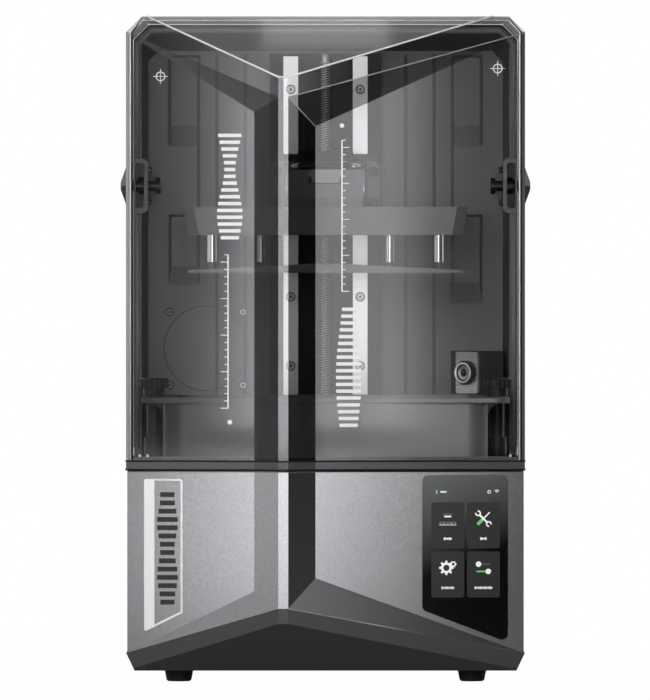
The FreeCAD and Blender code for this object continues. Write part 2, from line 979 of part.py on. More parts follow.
# A scoop runs out to the panel over a ramp at its foot
def liner_scoop(side, high, shelf, low):
    lip = size("scoop_lip")
    inner, outer = size("scoop_inner"), size("scoop_outer")
    mouth = [(inner, low), (inner, high), (outer, high), (outer, low)]
    rise = high - lip
    floor = [(inner + lip, shelf), (inner + lip, rise), (outer - lip, rise), (outer - lip, shelf)]
    panel = size("panel_y")
    rings = []
    for y, spots in ((panel, mouth), (panel + size("scoop_depth"), floor)):
        rings.append([Vector(side * x, y, z) for x, z in spots])
    return between(*rings)


def rear_liner():
    low = size("deck_top")
    under = low - size("skim")
    wall = size("liner_wall")
    wide, narrow = size("liner_half_width"), size("panel_half_width")
    high, back_high = size("liner_ceiling"), size("panel_ceiling")
    front, panel = size("flange_front"), size("panel_y")
    bevel, back_bevel = size("liner_bevel"), size("liner_back_bevel")
    back = panel + size("panel_depth")
    tub = between(liner_section(wide + wall, front, high + wall, low, back_bevel),
                  liner_section(narrow + wall, back, back_high + wall, low, back_bevel))
    hollow = between(liner_section(wide, front, high, under, bevel),
                     liner_section(narrow, panel, back_high, under, bevel))
    edge = size("flange_half_width")
    top = size("tower_top")
    corner = size("lid_corner")
    half_ring = [(edge, low), (edge, top - corner), (edge - corner, top)]
    ring = half_ring + [(-x, z) for x, z in reversed(half_ring)]
    flange = front_prism(ring, front, size("flange_rear"))
    opening = between(liner_section(wide, front, high, under, bevel),
                      liner_section(wide, panel, high, under, bevel))
    shape = tub.cut(hollow).fuse(flange.cut(opening)).removeSplitter()
    upper = ("upper_scoop_high", "upper_scoop_shelf", "upper_scoop_low")
    for label, side in sides.items():
        lower = ("lower_scoop_high", f"{label}_scoop_shelf", f"{label}_scoop_low")
        for names in (upper, lower):
            shape = shape.cut(liner_scoop(side, *[size(name) for name in names]))
    grooves = []
    for middle in ("groove_inner", "groove_outer"):
        for side in sides.values():
            slot = around(f"{side} * {middle}", "groove_width / 2")
            grooves.append(block(slot, ("panel_y - skim", "panel_y + groove_depth"),
                                 ("deck_top + groove_rise", "panel_ceiling - groove_gap")))
    seat = rod("y", ("cover_x", "panel_y - skim", "cover_z"), "cover_radius + cover_gap",
               "cover_depth + skim")
    notches = [bracket_notch(side) for side in sides.values()]
    named("rear_liner", cut(shaped(shape), join(*grooves), seat, *notches))
    named("filter_cover", rod("y", ("cover_x", "panel_y", "cover_z"), "cover_radius", "cover_depth"))


def rear_cover():
    owner = body("rear_cover")
    profile = [
        ("flange_rear", "deck_top"),
        ("flange_rear", "tower_top"),
        ("crown_y", "tower_top"),
        ("shoulder_y", "tower_top - shoulder_drop"),
        ("nape_y", "tower_top - nape_drop"),
        ("tower_back", "tower_top - back_drop"),
        ("tower_back", "deck_top"),
    ]
    extrude(owner, "Pad", outline(sketch(owner, "YZ"), *profile), "2 * tower_half_width", symmetric=True)
    front, floor = size("flange_rear"), size("deck_top")
    skim = size("skim")

    def rear_rim(edge):
        box = edge.BoundBox
        behind = box.YMax > front + skim and box.ZMax > floor + skim
        return behind and abs(box.XMin) > size("tower_half_width") - skim and box.XLength < skim

    soften(owner, "Chamfer", "tower_bevel", rear_rim)
    doc.recompute()
    solid = owner.Tip
    open_faces = []
    for n, face in enumerate(solid.Shape.Faces, 1):
        if face.BoundBox.YMax < front + skim or face.BoundBox.ZMax < floor + skim:
            open_faces.append(f"Face{n}")
    hollow = owner.newObject("PartDesign::Thickness", "Thickness")
    hollow.Base = (solid, open_faces)
    hollow.setExpression("Value", bound("tower_wall"))
    hollow.Reversed = True
    hollow.Join = "Intersection"
    for side in sides.values():
        hole = sketch(owner, "YZ", f"{side} * tower_half_width")
        rectangle(hole, ("bracket_front", "bracket_rear"), around("hinge_z", "bracket_half_height"))
        extrude(owner, "Pocket", hole, "4 * tower_wall", symmetric=True)
    slot = sketch(owner, "XZ", "-tower_back - skim")
    rectangle(slot, ("rear_vent_left", "rear_vent_left + rear_vent_width"),
              ("rear_vent_low", "rear_vent_high"))
    vent = extrude(owner, "Pocket", slot, "2 * tower_wall", reverse=True)
    row_pattern(owner, vent, "X", "rear_vent_span", 6)


def column():
    owner = body("z_column")
    plan = sketch(owner, "XY", "deck_top")
    mirrored(plan, ("column_half_width", "column_front"), ("column_half_width", "panel_y"),
             ("column_half_width - column_wall", "panel_y"),
             ("column_half_width - column_wall", "column_front + column_wall"))
    extrude(owner, "Pad", plan, "column_top - deck_top")


def rail(label, x):
    owner = body(label)
    front = "column_front - rail_depth"
    waist = "rail_half_width - rail_waist"
    section = sketch(owner, "XY", "rail_bottom")
    mirrored(section, ("rail_half_width", front), ("rail_half_width", f"{front} + rail_lip"),
             (waist, f"{front} + rail_waist_start"), (waist, f"{front} + rail_waist_end"),
             ("rail_half_width", f"{front} + rail_flare"), ("rail_half_width", "column_front"))
    extrude(owner, "Pad", section, "rail_top - rail_bottom")
    sink = circle(sketch(owner, "XZ", "rail_depth - column_front"), 0, "rail_hole_low", "rail_sink")
    hole = extrude(owner, "Pocket", sink, "rail_sink_depth")
    row_pattern(owner, hole, "Z", "rail_hole_span", 5)
    locate(owner, x, 0, 0)


def rail_block(label, x):
    owner = body(label)
    channel = "rail_half_width + slide_play"
    rear = "column_front - rail_block_end"
    section = sketch(owner, "XY", "carriage_low + rail_block_end")
    mirrored(section, ("rail_block_half", "carriage_rear"), ("rail_block_half", rear), (channel, rear),
             (channel, "column_front - rail_depth - slide_play"))
    extrude(owner, "Pad", section, "carriage_high + rail_block_rise - carriage_low - rail_block_end")
    locate(owner, x, 0, 0)


# Lead screw in two bearings above the deck, with its free end at the top
def lead_screw():
    foot_z = "motor_high + screw_gap"
    named("lead_screw", rod("z", (0, "screw_y", foot_z), "screw_radius", f"screw_top - ({foot_z})"))
    drum = rod("z", (0, "screw_y", foot_z), "coupler_radius", f"base_top - skim - ({foot_z})")
    hole = rod("z", (0, "screw_y", "motor_high"), "screw_radius", "overshoot")
    named("screw_coupler", cut(drum, hole))


def screw_bearings():
    seat = block(across("seat_half"), ("screw_y - seat_front", "column_front"),
                 ("deck_top", "deck_top + seat_height"))
    ring = rod("z", (0, "screw_y", "deck_top + seat_height"), "bearing_radius", "bearing_height")
    bearings = []
    for item in (seat, ring):
        hole = rod("z", (0, "screw_y", "deck_top - skim"), "screw_radius + screw_play", "overshoot")
        bearings.append(cut(item, hole))
    named("screw_bearings", group(*bearings))


def screw_nut():
    seat = block(across("nut_half"), ("carriage_rear", "column_front - skim"), ("nut_low", "nut_high"))
    hole = rod("z", (0, "screw_y", "nut_low - skim"), "screw_radius + screw_play", "overshoot")
    named("screw_nut", cut(seat, hole))


def carriage_plate():
    owner = body("carriage_plate")
    thickness = "carriage_rear - carriage_front"
    face = sketch(owner, "XZ", "-carriage_rear")
    rectangle(face, across("carriage_half_width"), ("carriage_low", "carriage_high"))
    extrude(owner, "Pad", face, thickness)
    soften(owner, "Chamfer", "carriage_bevel", lambda edge: edge.Length < size(thickness) + size("skim"))


def z_arm():
    owner = body("z_arm")
    profile = [
        ("carriage_front", "arm_low"),
        ("carriage_front", "arm_high"),
        ("arm_knee_y", "arm_high"),
        ("arm_slope_y", "arm_slope_z"),
        ("arm_front", "arm_nose"),
        ("arm_front", "arm_low"),
    ]
    extrude(owner, "Pad", outline(sketch(owner, "YZ"), *profile), "2 * arm_half_rear", symmetric=True)
    beyond = "(arm_half_rear + skim)"
    above = "arm_high + skim"
    for sign in ("-", ""):
        flank = sketch(owner, "XY", "arm_low")
        outline(flank, (f"{sign}arm_half_front", "arm_front - skim"),
                (f"{sign}{beyond}", "arm_front - skim"),
                (f"{sign}{beyond}", "carriage_front"), (f"{sign}arm_half_rear", "carriage_front"))
        extrude(owner, "Pocket", flank, symmetric=True)
        shoulder = sketch(owner, "XZ", 0)
        outline(shoulder, (f"{sign}shoulder_inner", above), (f"{sign}shoulder_outer", "shoulder_z"),
                (f"{sign}{beyond}", "shoulder_z"), (f"{sign}{beyond}", above))
        extrude(owner, "Pocket", shoulder, symmetric=True)
    slide = sketch(owner, "XZ", 0)
    mirrored(slide, ("dovetail_half_low + dovetail_play", "arm_low - skim"),
             ("dovetail_half_high + dovetail_play + dovetail_flare",
              "arm_low + dovetail_height + dovetail_play"))
    extrude(owner, "Pocket", slide, symmetric=True)

    def front_edge(edge):
        box = edge.BoundBox
        return box.YMax < size("arm_front + skim") and box.ZMin > size("arm_nose - skim")

    soften(owner, "Fillet", "arm_round", front_edge)
    for side in sides.values():
        lug = sketch(owner, "XZ", "-arm_front - skim")
        rectangle(lug, stretch(side, "lug_inner", "lug_outer"),
                  ("lever_z - lug_below", "lever_z + lug_above"))
        extrude(owner, "Pad", lug, "lug_reach")
    eye = circle(sketch(owner, "YZ"), "lever_y", "lever_z", "lever_pin")
    extrude(owner, "Pocket", eye, symmetric=True)


def arm_lever():
    named("lever_pin", rod("x", ("-lug_outer", "lever_y", "lever_z"), "lever_pin", "2 * lug_outer"))
    owner = body("arm_lever")
    front, rear = "lever_y - lever_head_front", "lever_y + lever_head_rear"
    low, high = "lever_z - lever_head_low", "lever_z + lever_head_high"
    head = sketch(owner, "YZ")
    outline(head, (front, low), (rear, low), (rear, f"{high} - lever_head_edge"),
            (f"{rear} - lever_head_edge", high), (front, high))
    extrude(owner, "Pad", head, "2 * lever_half", symmetric=True)
    handle = sketch(owner, "XZ", f"-({rear})")
    mirrored(handle, ("lever_half", "lever_z"), ("lever_tip_half", "lever_z - lever_drop"))
    extrude(owner, "Pad", handle, "lever_thick")
    eye = circle(sketch(owner, "YZ"), "lever_y", "lever_z", "lever_pin + screw_play")
    extrude(owner, "Pocket", eye, symmetric=True)


pillar_spots = [
    ("-pillar_outer_x", "bed_y - pillar_y"),
    ("pillar_outer_x", "bed_y - pillar_y"),
    ("-pillar_inner_x", "bed_y + pillar_y"),
    ("pillar_inner_x", "bed_y + pillar_y"),
]


def octagon(target, half_x, half_y):
    front, back = around("bed_y", f"({half_y})")
    short = f"({half_x}) - block_corner"
    return mirrored(target, (short, front), (half_x, f"{front} + block_corner"),
                    (half_x, f"{back} - block_corner"), (short, back))


def platform_block():
    owner = body("platform_block")
    depth_low = "block_half_depth - block_draft"
    inner_depth = "arm_low - block_low - block_wall"
    low = octagon(sketch(owner, "XY", "block_low"), "block_half_low", depth_low)
    high = octagon(sketch(owner, "XY", "arm_low"), "block_half_top", "block_half_depth")
    loft = owner.newObject("PartDesign::AdditiveLoft", "Loft")
    loft.Profile = low
    loft.Sections = [high]
    loft.Ruled = True
    room = octagon(sketch(owner, "XY", "block_low"), "block_half_low - block_wall",
                   f"{depth_low} - block_wall")
    extrude(owner, "Pocket", room, inner_depth, reverse=True)
    bosses = sketch(owner, "XY", "block_low + boss_lip")
    bores = sketch(owner, "XY", "block_low")
    heads = sketch(owner, "XY", "block_low + pillar_stop")
    for x, y in pillar_spots:
        circle(bosses, x, y, "pillar_radius + boss_wall")
        circle(bores, x, y, "pillar_radius + screw_play")
        circle(heads, x, y, "pillar_radius + pillar_head + pillar_head_room")
    extrude(owner, "Pad", bosses, inner_depth)
    extrude(owner, "Pocket", bores, "pillar_room", reverse=True)
    extrude(owner, "Pocket", heads, "pillar_room", reverse=True)
    tongue = sketch(owner, "XZ", "-bed_y - block_half_depth")
    mirrored(tongue, ("dovetail_half_low", "arm_low - skim"), ("dovetail_half_low", "arm_low"),
             ("dovetail_half_high", "arm_low + dovetail_height"))
    extrude(owner, "Pad", tongue, "dovetail_length")


def platform_plate():
    pillars = []
    for x, y in pillar_spots:
        stop = "block_low + pillar_stop"
        shaft = rod("z", (x, y, "pillar_foot"), "pillar_radius", f"{stop} - pillar_foot")
        head = rod("z", (x, y, stop), "pillar_radius + pillar_head", "pillar_head_height")
        pillars.append(join(shaft, head))
    named("platform_pillars", group(*pillars))
    owner = body("build_plate")
    roof = sketch(owner, "XZ", "-bed_y - plate_half_width")
    mirrored(roof, ("plate_half_length", "plate_low"), ("plate_half_length", "plate_low + plate_edge"),
             ("plate_flat", "plate_low + plate_crown"))
    extrude(owner, "Pad", roof, "2 * plate_half_width")
    seats = sketch(owner, "XY", "plate_low + skim")
    for x, y in pillar_spots:
        circle(seats, x, y, "pillar_seat")
    extrude(owner, "Pad", seats, "pillar_foot - plate_low - skim")


# Ribs below the vat's ears have a hollow curved edge
def rib_profile(sign):
    steps = 6
    corners = [(f"{sign}(vat_half_length - skim)", "vat_rim_low")]
    corners.append((f"{sign}(vat_half_length - skim)", "vat_rim_low - rib_size"))
    for n in range(steps + 1):
        turn = 90 * n / steps
        out = f"rib_size * (1 - cos({turn} deg))"
        rise = f"rib_size * sin({turn} deg)"
        corners.append((f"{sign}(vat_half_length + {out})", f"vat_rim_low - rib_size + {rise}"))
    return corners


def vat():
    owner = body("vat_body")
    tub = sketch(owner, "XY", "deck_top")
    rectangle(tub, across("vat_half_length"), around("bed_y", "vat_half_width"))
    extrude(owner, "Pad", tub, "vat_rim_low - deck_top")
    soften(owner, "Fillet", "vat_round", upright)
    ledge = sketch(owner, "XY", "vat_rim_low")
    ear_end = "bed_y + vat_ear"
    waist = "vat_rim_half - vat_ear_step"
    mirrored(ledge, ("vat_rim_half", "bed_y - vat_rim_front"), ("vat_rim_half", ear_end),
             (waist, f"{ear_end} + vat_ear_step"), (waist, "bed_y + vat_rim_rear"))
    extrude(owner, "Pad", ledge, "vat_rim_high - vat_rim_low")
    skim = size("skim")
    rim_low = size("vat_rim_low")
    soften(owner, "Fillet", "vat_rim_round",
           lambda edge: upright(edge) and edge.BoundBox.ZMin > rim_low - skim)
    cavity = sketch(owner, "XY", "vat_rim_high + skim")
    rectangle(cavity, across("vat_cavity_half"), around("bed_y", "vat_cavity_width"))
    extrude(owner, "Pocket", cavity)

    def cavity_edge(edge):
        inside = abs(edge.BoundBox.XMax) < size("vat_cavity_half") + skim
        return upright(edge) and inside and edge.Length > size("vat_rim_high - deck_top") - skim

    soften(owner, "Fillet", "vat_cavity_round", cavity_edge)
    recess = sketch(owner, "XY", "deck_top")
    rectangle(recess, across("film_half_length"), around("bed_y", "film_half_width"))
    extrude(owner, "Pocket", recess, "film_recess", reverse=True)
    studs = sketch(owner, "XY", "vat_rim_high + skim")
    for sign in ("-", ""):
        circle(studs, f"{sign}knob_x", "bed_y", "knob_stud + screw_play")
    extrude(owner, "Pocket", studs, "vat_rim_high - vat_rim_low + 2 * skim")
    for sign in ("-", ""):
        for place in ("rib_front", "rib_rear"):
            rib = sketch(owner, "XZ", f"-({place})")
            extrude(owner, "Pad", outline(rib, *rib_profile(sign)), "rib_thick")
    film_x, film_y = "film_half_length - film_gap", "film_half_width - film_gap"
    film_low, film_high = "deck_top + film_gap", "deck_top + film_gap + film_thick"
    ring = block(across(film_x), around("bed_y", film_y), (film_high, "deck_top + film_recess"))
    opening = block(across("film_half_length - film_opening"),
                    around("bed_y", "film_half_width - film_opening"), ("deck_top", "vat_rim_low"))
    named("film_frame", cut(ring, opening))
    named("vat_film", block(across(film_x), around("bed_y", film_y), (film_low, film_high)))


def vat_knob(label, x):
    owner = body(label)
    profile = sketch(owner, "XZ")
    outline(profile, (0, "-knob_stud_length"), ("knob_stud", "-knob_stud_length"), ("knob_stud", 0),
            ("knob_neck", 0), ("knob_neck", "knob_neck_height"), ("knob_radius", "knob_neck_height"),
            ("knob_radius", "knob_height - knob_edge"), ("knob_radius - knob_edge", "knob_height"),
            (0, "knob_height"))
    revolve(owner, profile)
    flute = sketch(owner, "XY", "knob_height + skim")
    circle(flute, "knob_radius + knob_flute_out", 0, "knob_flute")
    notch = extrude(owner, "Pocket", flute, "knob_height - knob_neck_height + 2 * skim")
    round_pattern(owner, notch, 20)
    locate(owner, x, "bed_y", "vat_rim_high")


def vat_posts():
    posts = []
    for sign in ("-", ""):
        x = f"{sign}knob_x"
        stem = join(rod("z", (x, "bed_y", "deck_top"), "post_foot", "post_foot_height"),
                    rod("z", (x, "bed_y", "deck_top"), "post_radius", "vat_rim_low - deck_top"))
        bore = rod("z", (x, "bed_y", "vat_rim_low - post_bore_depth"), "knob_stud + slide_play", "overshoot")
        posts.append(cut(stem, bore))
    named("vat_posts", group(*posts))


# Camera on a wedge in the corner, turned towards the build plate
def camera():
    yaw = math.radians(size("camera_yaw"))
    normal = Vector(-math.sin(yaw), -math.cos(yaw), 0)
    along = Vector(math.cos(yaw), -math.sin(yaw), 0)
    low, high = size("camera_low"), size("camera_high")
    left, right = size("camera_left"), size("panel_half_width - camera_side_gap")
    knee, back = size("camera_knee"), size("panel_y")
    front = knee + (right - left) * along.y / along.x
    plan = [(left, back), (left, knee), (right, front), (right, back)]
    named("camera_mount", shaped(plan_prism(plan, low, high)))
    middle = Vector(left, knee, (low + high) / 2) + along * size("camera_middle")
    wide, tall = size("camera_face_half"), size("camera_face_tall")
    corners = [(-wide, -tall), (wide, -tall), (wide, tall), (-wide, tall)]
    spots = [middle + along * out + Vector(0, 0, up) for out, up in corners]
    thickness = normal * size("camera_face_thick")
    face = Part.Face(rounded_ring(spots, size("camera_face_round"))).extrude(thickness)
    named("camera_face", shaped(face))
    spot = middle + along * size("lens_shift") + thickness
    length = size("lens_length")
    sunk = size("lens_sunk")
    barrel = Part.makeCylinder(size("lens_flange"), size("lens_flange_length"), spot, normal)
    barrel = barrel.fuse(Part.makeCylinder(size("lens_radius"), length, spot, normal))
    bottom = spot + normal * (length - sunk)
    mouth = Part.makeCone(size("lens_throat"), size("lens_mouth"), sunk, bottom, normal)
    named("camera_lens", shaped(barrel.cut(mouth).removeSplitter()))


def light_source():
    middle = size("bed_y")

    def ring(half_x, half_y, z):
        corners = [(-half_x, -half_y), (half_x, -half_y), (half_x, half_y), (-half_x, half_y)]
        return [Vector(x, middle + y, z) for x, y in corners]

    low, high = size("led_z"), size("base_top")
    wall = size("light_wall")
    narrow_x, narrow_y = size("led_half_length"), size("led_half_width")
    wide_x, wide_y = size("lcd_half_length"), size("lcd_half_width")
    outer = between(ring(narrow_x, narrow_y, low), ring(wide_x, wide_y, high))
    inner = between(ring(narrow_x - wall, narrow_y - wall, low), ring(wide_x - wall, wide_y - wall, high))
    named("light_box", shaped(outer.cut(inner)))
    wide = across("led_half_length")
    deep = around("bed_y", "led_half_width")
    named("led_board", block(wide, deep, ("led_z - led_thick", "led_z")))
    sink_high = "led_z - led_thick"
    fins = []
    for n in range(-4, 5):
        fin = around(f"bed_y + ({n}) * fin_pitch", "fin_thick / 2")
        fins.append(block(wide, fin, ("fan_low + fan_depth", sink_high)))
    named("led_heatsink", join(block(wide, deep, (f"{sink_high} - sink_thick", sink_high)), *fins))


def fan():
    wide = across("fan_half")
    deep = around("bed_y", "fan_half")
    under = "fan_low - skim"
    through = (under, "fan_low + fan_floor + skim")
    case = block(wide, deep, ("fan_low", "fan_low + fan_depth"))
    bore = rod("z", (0, "bed_y", "fan_low + fan_floor"), "fan_bore", "fan_depth")
    mouth = cut(rod("z", (0, "bed_y", under), "fan_bore", "fan_floor + 2 * skim"),
                rod("z", (0, "bed_y", under), "fan_boss", "fan_floor + 2 * skim"),
                block(wide, around("bed_y", "fan_bar / 2"), through),
                block(across("fan_bar / 2"), deep, through))
    named("fan_frame", cut(case, bore, mouth))
    owner = body("fan_rotor")
    hub = circle(sketch(owner, "XY", "hub_low"), 0, 0, "hub_radius")
    extrude(owner, "Pad", hub, "hub_height")
    blade = sketch(owner, "YZ", "blade_start")
    outline(blade, ("blade_tail", "blade_low"), ("blade_tail + blade_thick", "blade_low"),
            ("blade_tip + blade_thick", "blade_high"), ("blade_tip", "blade_high"))
    round_pattern(owner, extrude(owner, "Pad", blade, "blade_length"), 7)
    locate(owner, 0, "bed_y", "fan_low")


def drive_motor():
    named("z_motor", block(across("motor_half"), around("screw_y", "motor_half"),
                           ("motor_low", "motor_high")))
    mount = block(across("mount_half"), around("screw_y", "mount_half"), ("motor_high", "base_top"))
    room = rod("z", (0, "screw_y", "motor_high - skim"), "mount_bore", "overshoot")
    named("motor_mount", cut(mount, room))


def main_board():
    floor = "foot_height + base_wall"
    face = f"{floor} + board_rise + board_thick"
    board = block(("board_left", "board_right"), ("board_front", "board_back"),
                  (f"{floor} + board_rise", face))
    chips = []
    for name in ("chip", "relay", "socket"):
        wide = around(f"board_left + {name}_x", f"{name}_half")
        deep = around(f"board_front + {name}_y", f"{name}_half_depth")
        chips.append(block(wide, deep, (face, f"{face} + {name}_height")))
    stands = []
    for x in ("board_left + board_inset", "board_right - board_inset"):
        for y in ("board_front + board_inset", "board_back - board_inset"):
            stands.append(rod("z", (x, y, floor), "stand_radius", "board_rise"))
    named("main_board", join(board, *chips, *stands))


def power_socket():
    middle_x = "(inlet_left + inlet_right) / 2"
    middle_z = "(socket_low + socket_high) / 2"
    shell = block(("inlet_left", "inlet_right"), ("back_y - inlet_depth", "back_y"),
                  ("socket_low", "socket_high"))
    start = (middle_x, "back_y - inlet_bore_depth", middle_z)
    hole = cut(rod("y", start, "inlet_bore", "overshoot"), rod("y", start, "inlet_pin", "inlet_pin_length"))
    named("power_inlet", cut(shell, hole))


def power_switch():
    middle = "(switch_left + switch_right) / 2"
    axis_y = "back_y - rocker_axis"
    frame = block(("switch_left", "switch_right"), ("back_y - switch_depth", "back_y"),
                  ("socket_low", "socket_high"))
    well = block(("switch_left + switch_side_rim", "switch_right - switch_side_rim"),
                 ("back_y - switch_well", "back_y + skim"),
                 ("socket_low + switch_end_rim", "socket_high - switch_end_rim"))
    centre_z = "(socket_low + socket_high) / 2"
    pin_low = f"{centre_z} - rocker_pin_length / 2"
    bore = rod("z", (middle, axis_y, f"{pin_low} - screw_play"), "rocker_pin + rocker_pin_play",
               "rocker_pin_length + 2 * screw_play")
    named("switch_bezel", cut(frame, well, bore))
    owner = body("power_switch")
    left, right = around(middle, "rocker_half")
    rocker = sketch(owner, "XY", f"{centre_z} - rocker_height / 2")
    outline(rocker, (left, "back_y - rocker_back"), (right, "back_y - rocker_back"),
            (right, "back_y - rocker_low"), (middle, "back_y - rocker_middle"),
            (left, "back_y - rocker_high"))
    extrude(owner, "Pad", rocker, "rocker_height")
    pin = circle(sketch(owner, "XY", pin_low), middle, axis_y, "rocker_pin")
    extrude(owner, "Pad", pin, "rocker_pin_length")


def usb_socket():
    port = block(("usb_left", "usb_right"), ("back_y - usb_depth", "back_y"), ("usb_low", "usb_high"))
    mouth = block(("usb_left + usb_side", "usb_right - usb_side"),
                  ("back_y - usb_mouth_depth", "back_y + skim"),
                  ("usb_low + usb_wall", "usb_high - usb_wall"))
    tongue = block(("usb_left + tongue_side", "usb_right - tongue_side"),
                   ("back_y - tongue_back", "back_y - tongue_front"), ("tongue_low", "tongue_high"))
    named("usb_port", join(cut(port, mouth), tongue))


base_housing()
floor_pan()
feet()
front_fittings()
deck()
lid()
for label, side in sides.items():
    hinge(label, side)
rear_liner()
rear_cover()
column()
for label, side in sides.items():
    rail(f"rail_{label}", f"{side} * rail_x")
    rail_block(f"rail_block_{label}", f"{side} * rail_x")
lead_screw()
screw_bearings()
screw_nut()
carriage_plate()
z_arm()
arm_lever()
platform_block()
platform_plate()
vat()
for label, side in sides.items():
    vat_knob(f"vat_knob_{label}", f"{side} * knob_x")
vat_posts()
camera()
light_source()
fan()
drive_motor()
main_board()
power_socket()
power_switch()
usb_socket()
doc.recompute()

# Nothing is written unless every object and every solid came out sound
for item in doc.Objects:
    if "Invalid" in item.State or "Error" in item.State:
        raise RuntimeError(f"{item.Name} {item.Label} failed: {item.State}")
for item in pieces:
    if item.Shape.isNull() or not item.Shape.isValid() or not item.Shape.Solids:
        raise RuntimeError(f"{item.Label} has no sound solid")
os.makedirs("parts", exist_ok=True)
for item in pieces:
    item.Shape.exportStep(f"parts/{item.Label}.step")
    box = item.Shape.BoundBox
    print(f"{item.Label}: {len(item.Shape.Solids)} solid, {item.Shape.Volume / 1000:.1f} cm3,",
          f"z {box.ZMin:.1f} to {box.ZMax:.1f}")
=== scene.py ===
import math
import bmesh
import bpy
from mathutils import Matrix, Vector


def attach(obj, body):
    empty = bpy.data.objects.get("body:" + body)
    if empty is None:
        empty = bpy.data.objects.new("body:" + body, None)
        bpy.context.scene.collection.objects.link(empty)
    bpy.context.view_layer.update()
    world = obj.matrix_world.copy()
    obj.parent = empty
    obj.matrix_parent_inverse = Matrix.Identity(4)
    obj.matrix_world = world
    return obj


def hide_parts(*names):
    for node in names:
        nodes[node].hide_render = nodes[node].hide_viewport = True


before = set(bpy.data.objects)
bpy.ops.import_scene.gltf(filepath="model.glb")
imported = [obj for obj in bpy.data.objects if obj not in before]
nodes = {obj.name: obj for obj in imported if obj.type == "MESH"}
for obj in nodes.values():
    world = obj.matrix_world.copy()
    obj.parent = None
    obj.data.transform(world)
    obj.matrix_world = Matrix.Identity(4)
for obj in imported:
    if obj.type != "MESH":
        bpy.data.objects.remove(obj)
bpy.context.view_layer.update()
print("frame loaded:", len(nodes), "nodes")

# camera: long lens, a little above the middle of the machine
photoView = {
    "pixels": (650, 700),
    "pixelsPerMetre": 1218.0,  # at the front of the casing
    "aim": (-0.0004, -0.150, 0.2738),
    "distance": 8.0,
    "elevation": 0.57,
    "sensor": 36.0,
    "clipEnd": 100,
}


def addCamera():
    data = bpy.data.cameras.new("photoCamera")
    camera = bpy.data.objects.new("photoCamera", data)
    bpy.context.scene.collection.objects.link(camera)
    tilt = math.radians(photoView["elevation"])
    away = Vector((0, -math.cos(tilt), math.sin(tilt))) * photoView["distance"]
    camera.location = Vector(photoView["aim"]) + away
    camera.rotation_euler = (math.pi / 2 - tilt, 0, 0)
    tall = photoView["pixels"][1] / photoView["pixelsPerMetre"]
    data.sensor_width = photoView["sensor"]
    data.lens = photoView["sensor"] * photoView["distance"] / tall
    data.clip_end = photoView["clipEnd"]
    bpy.context.scene.camera = camera


# node helpers
def addNode(tree, kind, values=None, **settings):
    node = tree.nodes.new(kind)
    for key, item in settings.items():
        setattr(node, key, item)
    for key, item in (values or {}).items():
        if isinstance(item, bpy.types.NodeSocket):
            tree.links.new(item, node.inputs[key])
        else:
            node.inputs[key].default_value = item
    return node


def calculate(tree, operation, first, second=0.0):
    node = addNode(tree, "ShaderNodeMath", {0: first, 1: second}, operation=operation)
    return node.outputs[0]


def mixValue(tree, share, first, second):
    return addNode(tree, "ShaderNodeMix", {0: share, 2: first, 3: second}).outputs[0]


def mixColour(tree, share, first, second):
    return addNode(tree, "ShaderNodeMix", {0: share, 6: first, 7: second}, data_type="RGBA").outputs[2]


def mapRange(tree, value, span, result=(0.0, 1.0)):
    names = ("From Min", "From Max", "To Min", "To Max")
    values = {"Value": value, **dict(zip(names, (*span, *result)))}
    return addNode(tree, "ShaderNodeMapRange", values).outputs[0]


def newGroup(name, inputs, outputs):
    group = bpy.data.node_groups.new(name, "ShaderNodeTree")
    kinds = {"value": "NodeSocketFloat", "colour": "NodeSocketColor", "vector": "NodeSocketVector"}
    for label, kind in inputs.items():
        group.interface.new_socket(name=label, in_out="INPUT", socket_type=kinds[kind])
    for label, kind in outputs.items():
        group.interface.new_socket(name=label, in_out="OUTPUT", socket_type=kinds[kind])
    start = group.nodes.new("NodeGroupInput")
    end = group.nodes.new("NodeGroupOutput")
    return group, start.outputs, end.inputs


# a signal from 0 to 1 lightens the colour and roughens the surface about their middle values
def applySignal(group, given, result, signal, height):
    centred = calculate(group, "SUBTRACT", signal, 0.5)
    gain = calculate(group, "MULTIPLY", centred, given["Mottle"])
    brightness = calculate(group, "ADD", gain, 1.0)
    tinted = addNode(group, "ShaderNodeHueSaturation", {"Value": brightness, "Color": given["Colour"]})
    uneven = calculate(group, "MULTIPLY", centred, given["Spread"])
    rough = calculate(group, "ADD", uneven, given["Roughness"])
    group.links.new(tinted.outputs["Color"], result["Colour"])
    group.links.new(rough, result["Roughness"])
    group.links.new(height, result["Height"])


# every surface group takes and gives the same values, and works on the scaled place on the object
def newSurface(name):
    inputs = {"Colour": "colour", "Scale": "vector", "Mottle": "value", "Roughness": "value",
              "Spread": "value"}
    outputs = {"Colour": "colour", "Roughness": "value", "Height": "value"}
    group, given, result = newGroup(name, inputs, outputs)
    place = addNode(group, "ShaderNodeTexCoord").outputs["Object"]
    scaled = addNode(group, "ShaderNodeVectorMath", {0: place, 1: given["Scale"]}, operation="MULTIPLY")
    return group, given, result, scaled.outputs["Vector"]


def addNoise(group, place, **values):
    values = {"Vector": place, "Scale": 1.0, **values}
    return addNode(group, "ShaderNodeTexNoise", values).outputs[0]


# moulded grain: fine noise for the surface, with broad soft clouds in the colour
def makeGrainGroup():
    group, given, result, place = newSurface("mouldGrain")
    fine = addNoise(group, place, Detail=3.0)
    clouds = addNoise(group, place, Scale=0.02, Detail=2.0)
    applySignal(group, given, result, mixValue(group, 0.5, fine, clouds), fine)
    return group


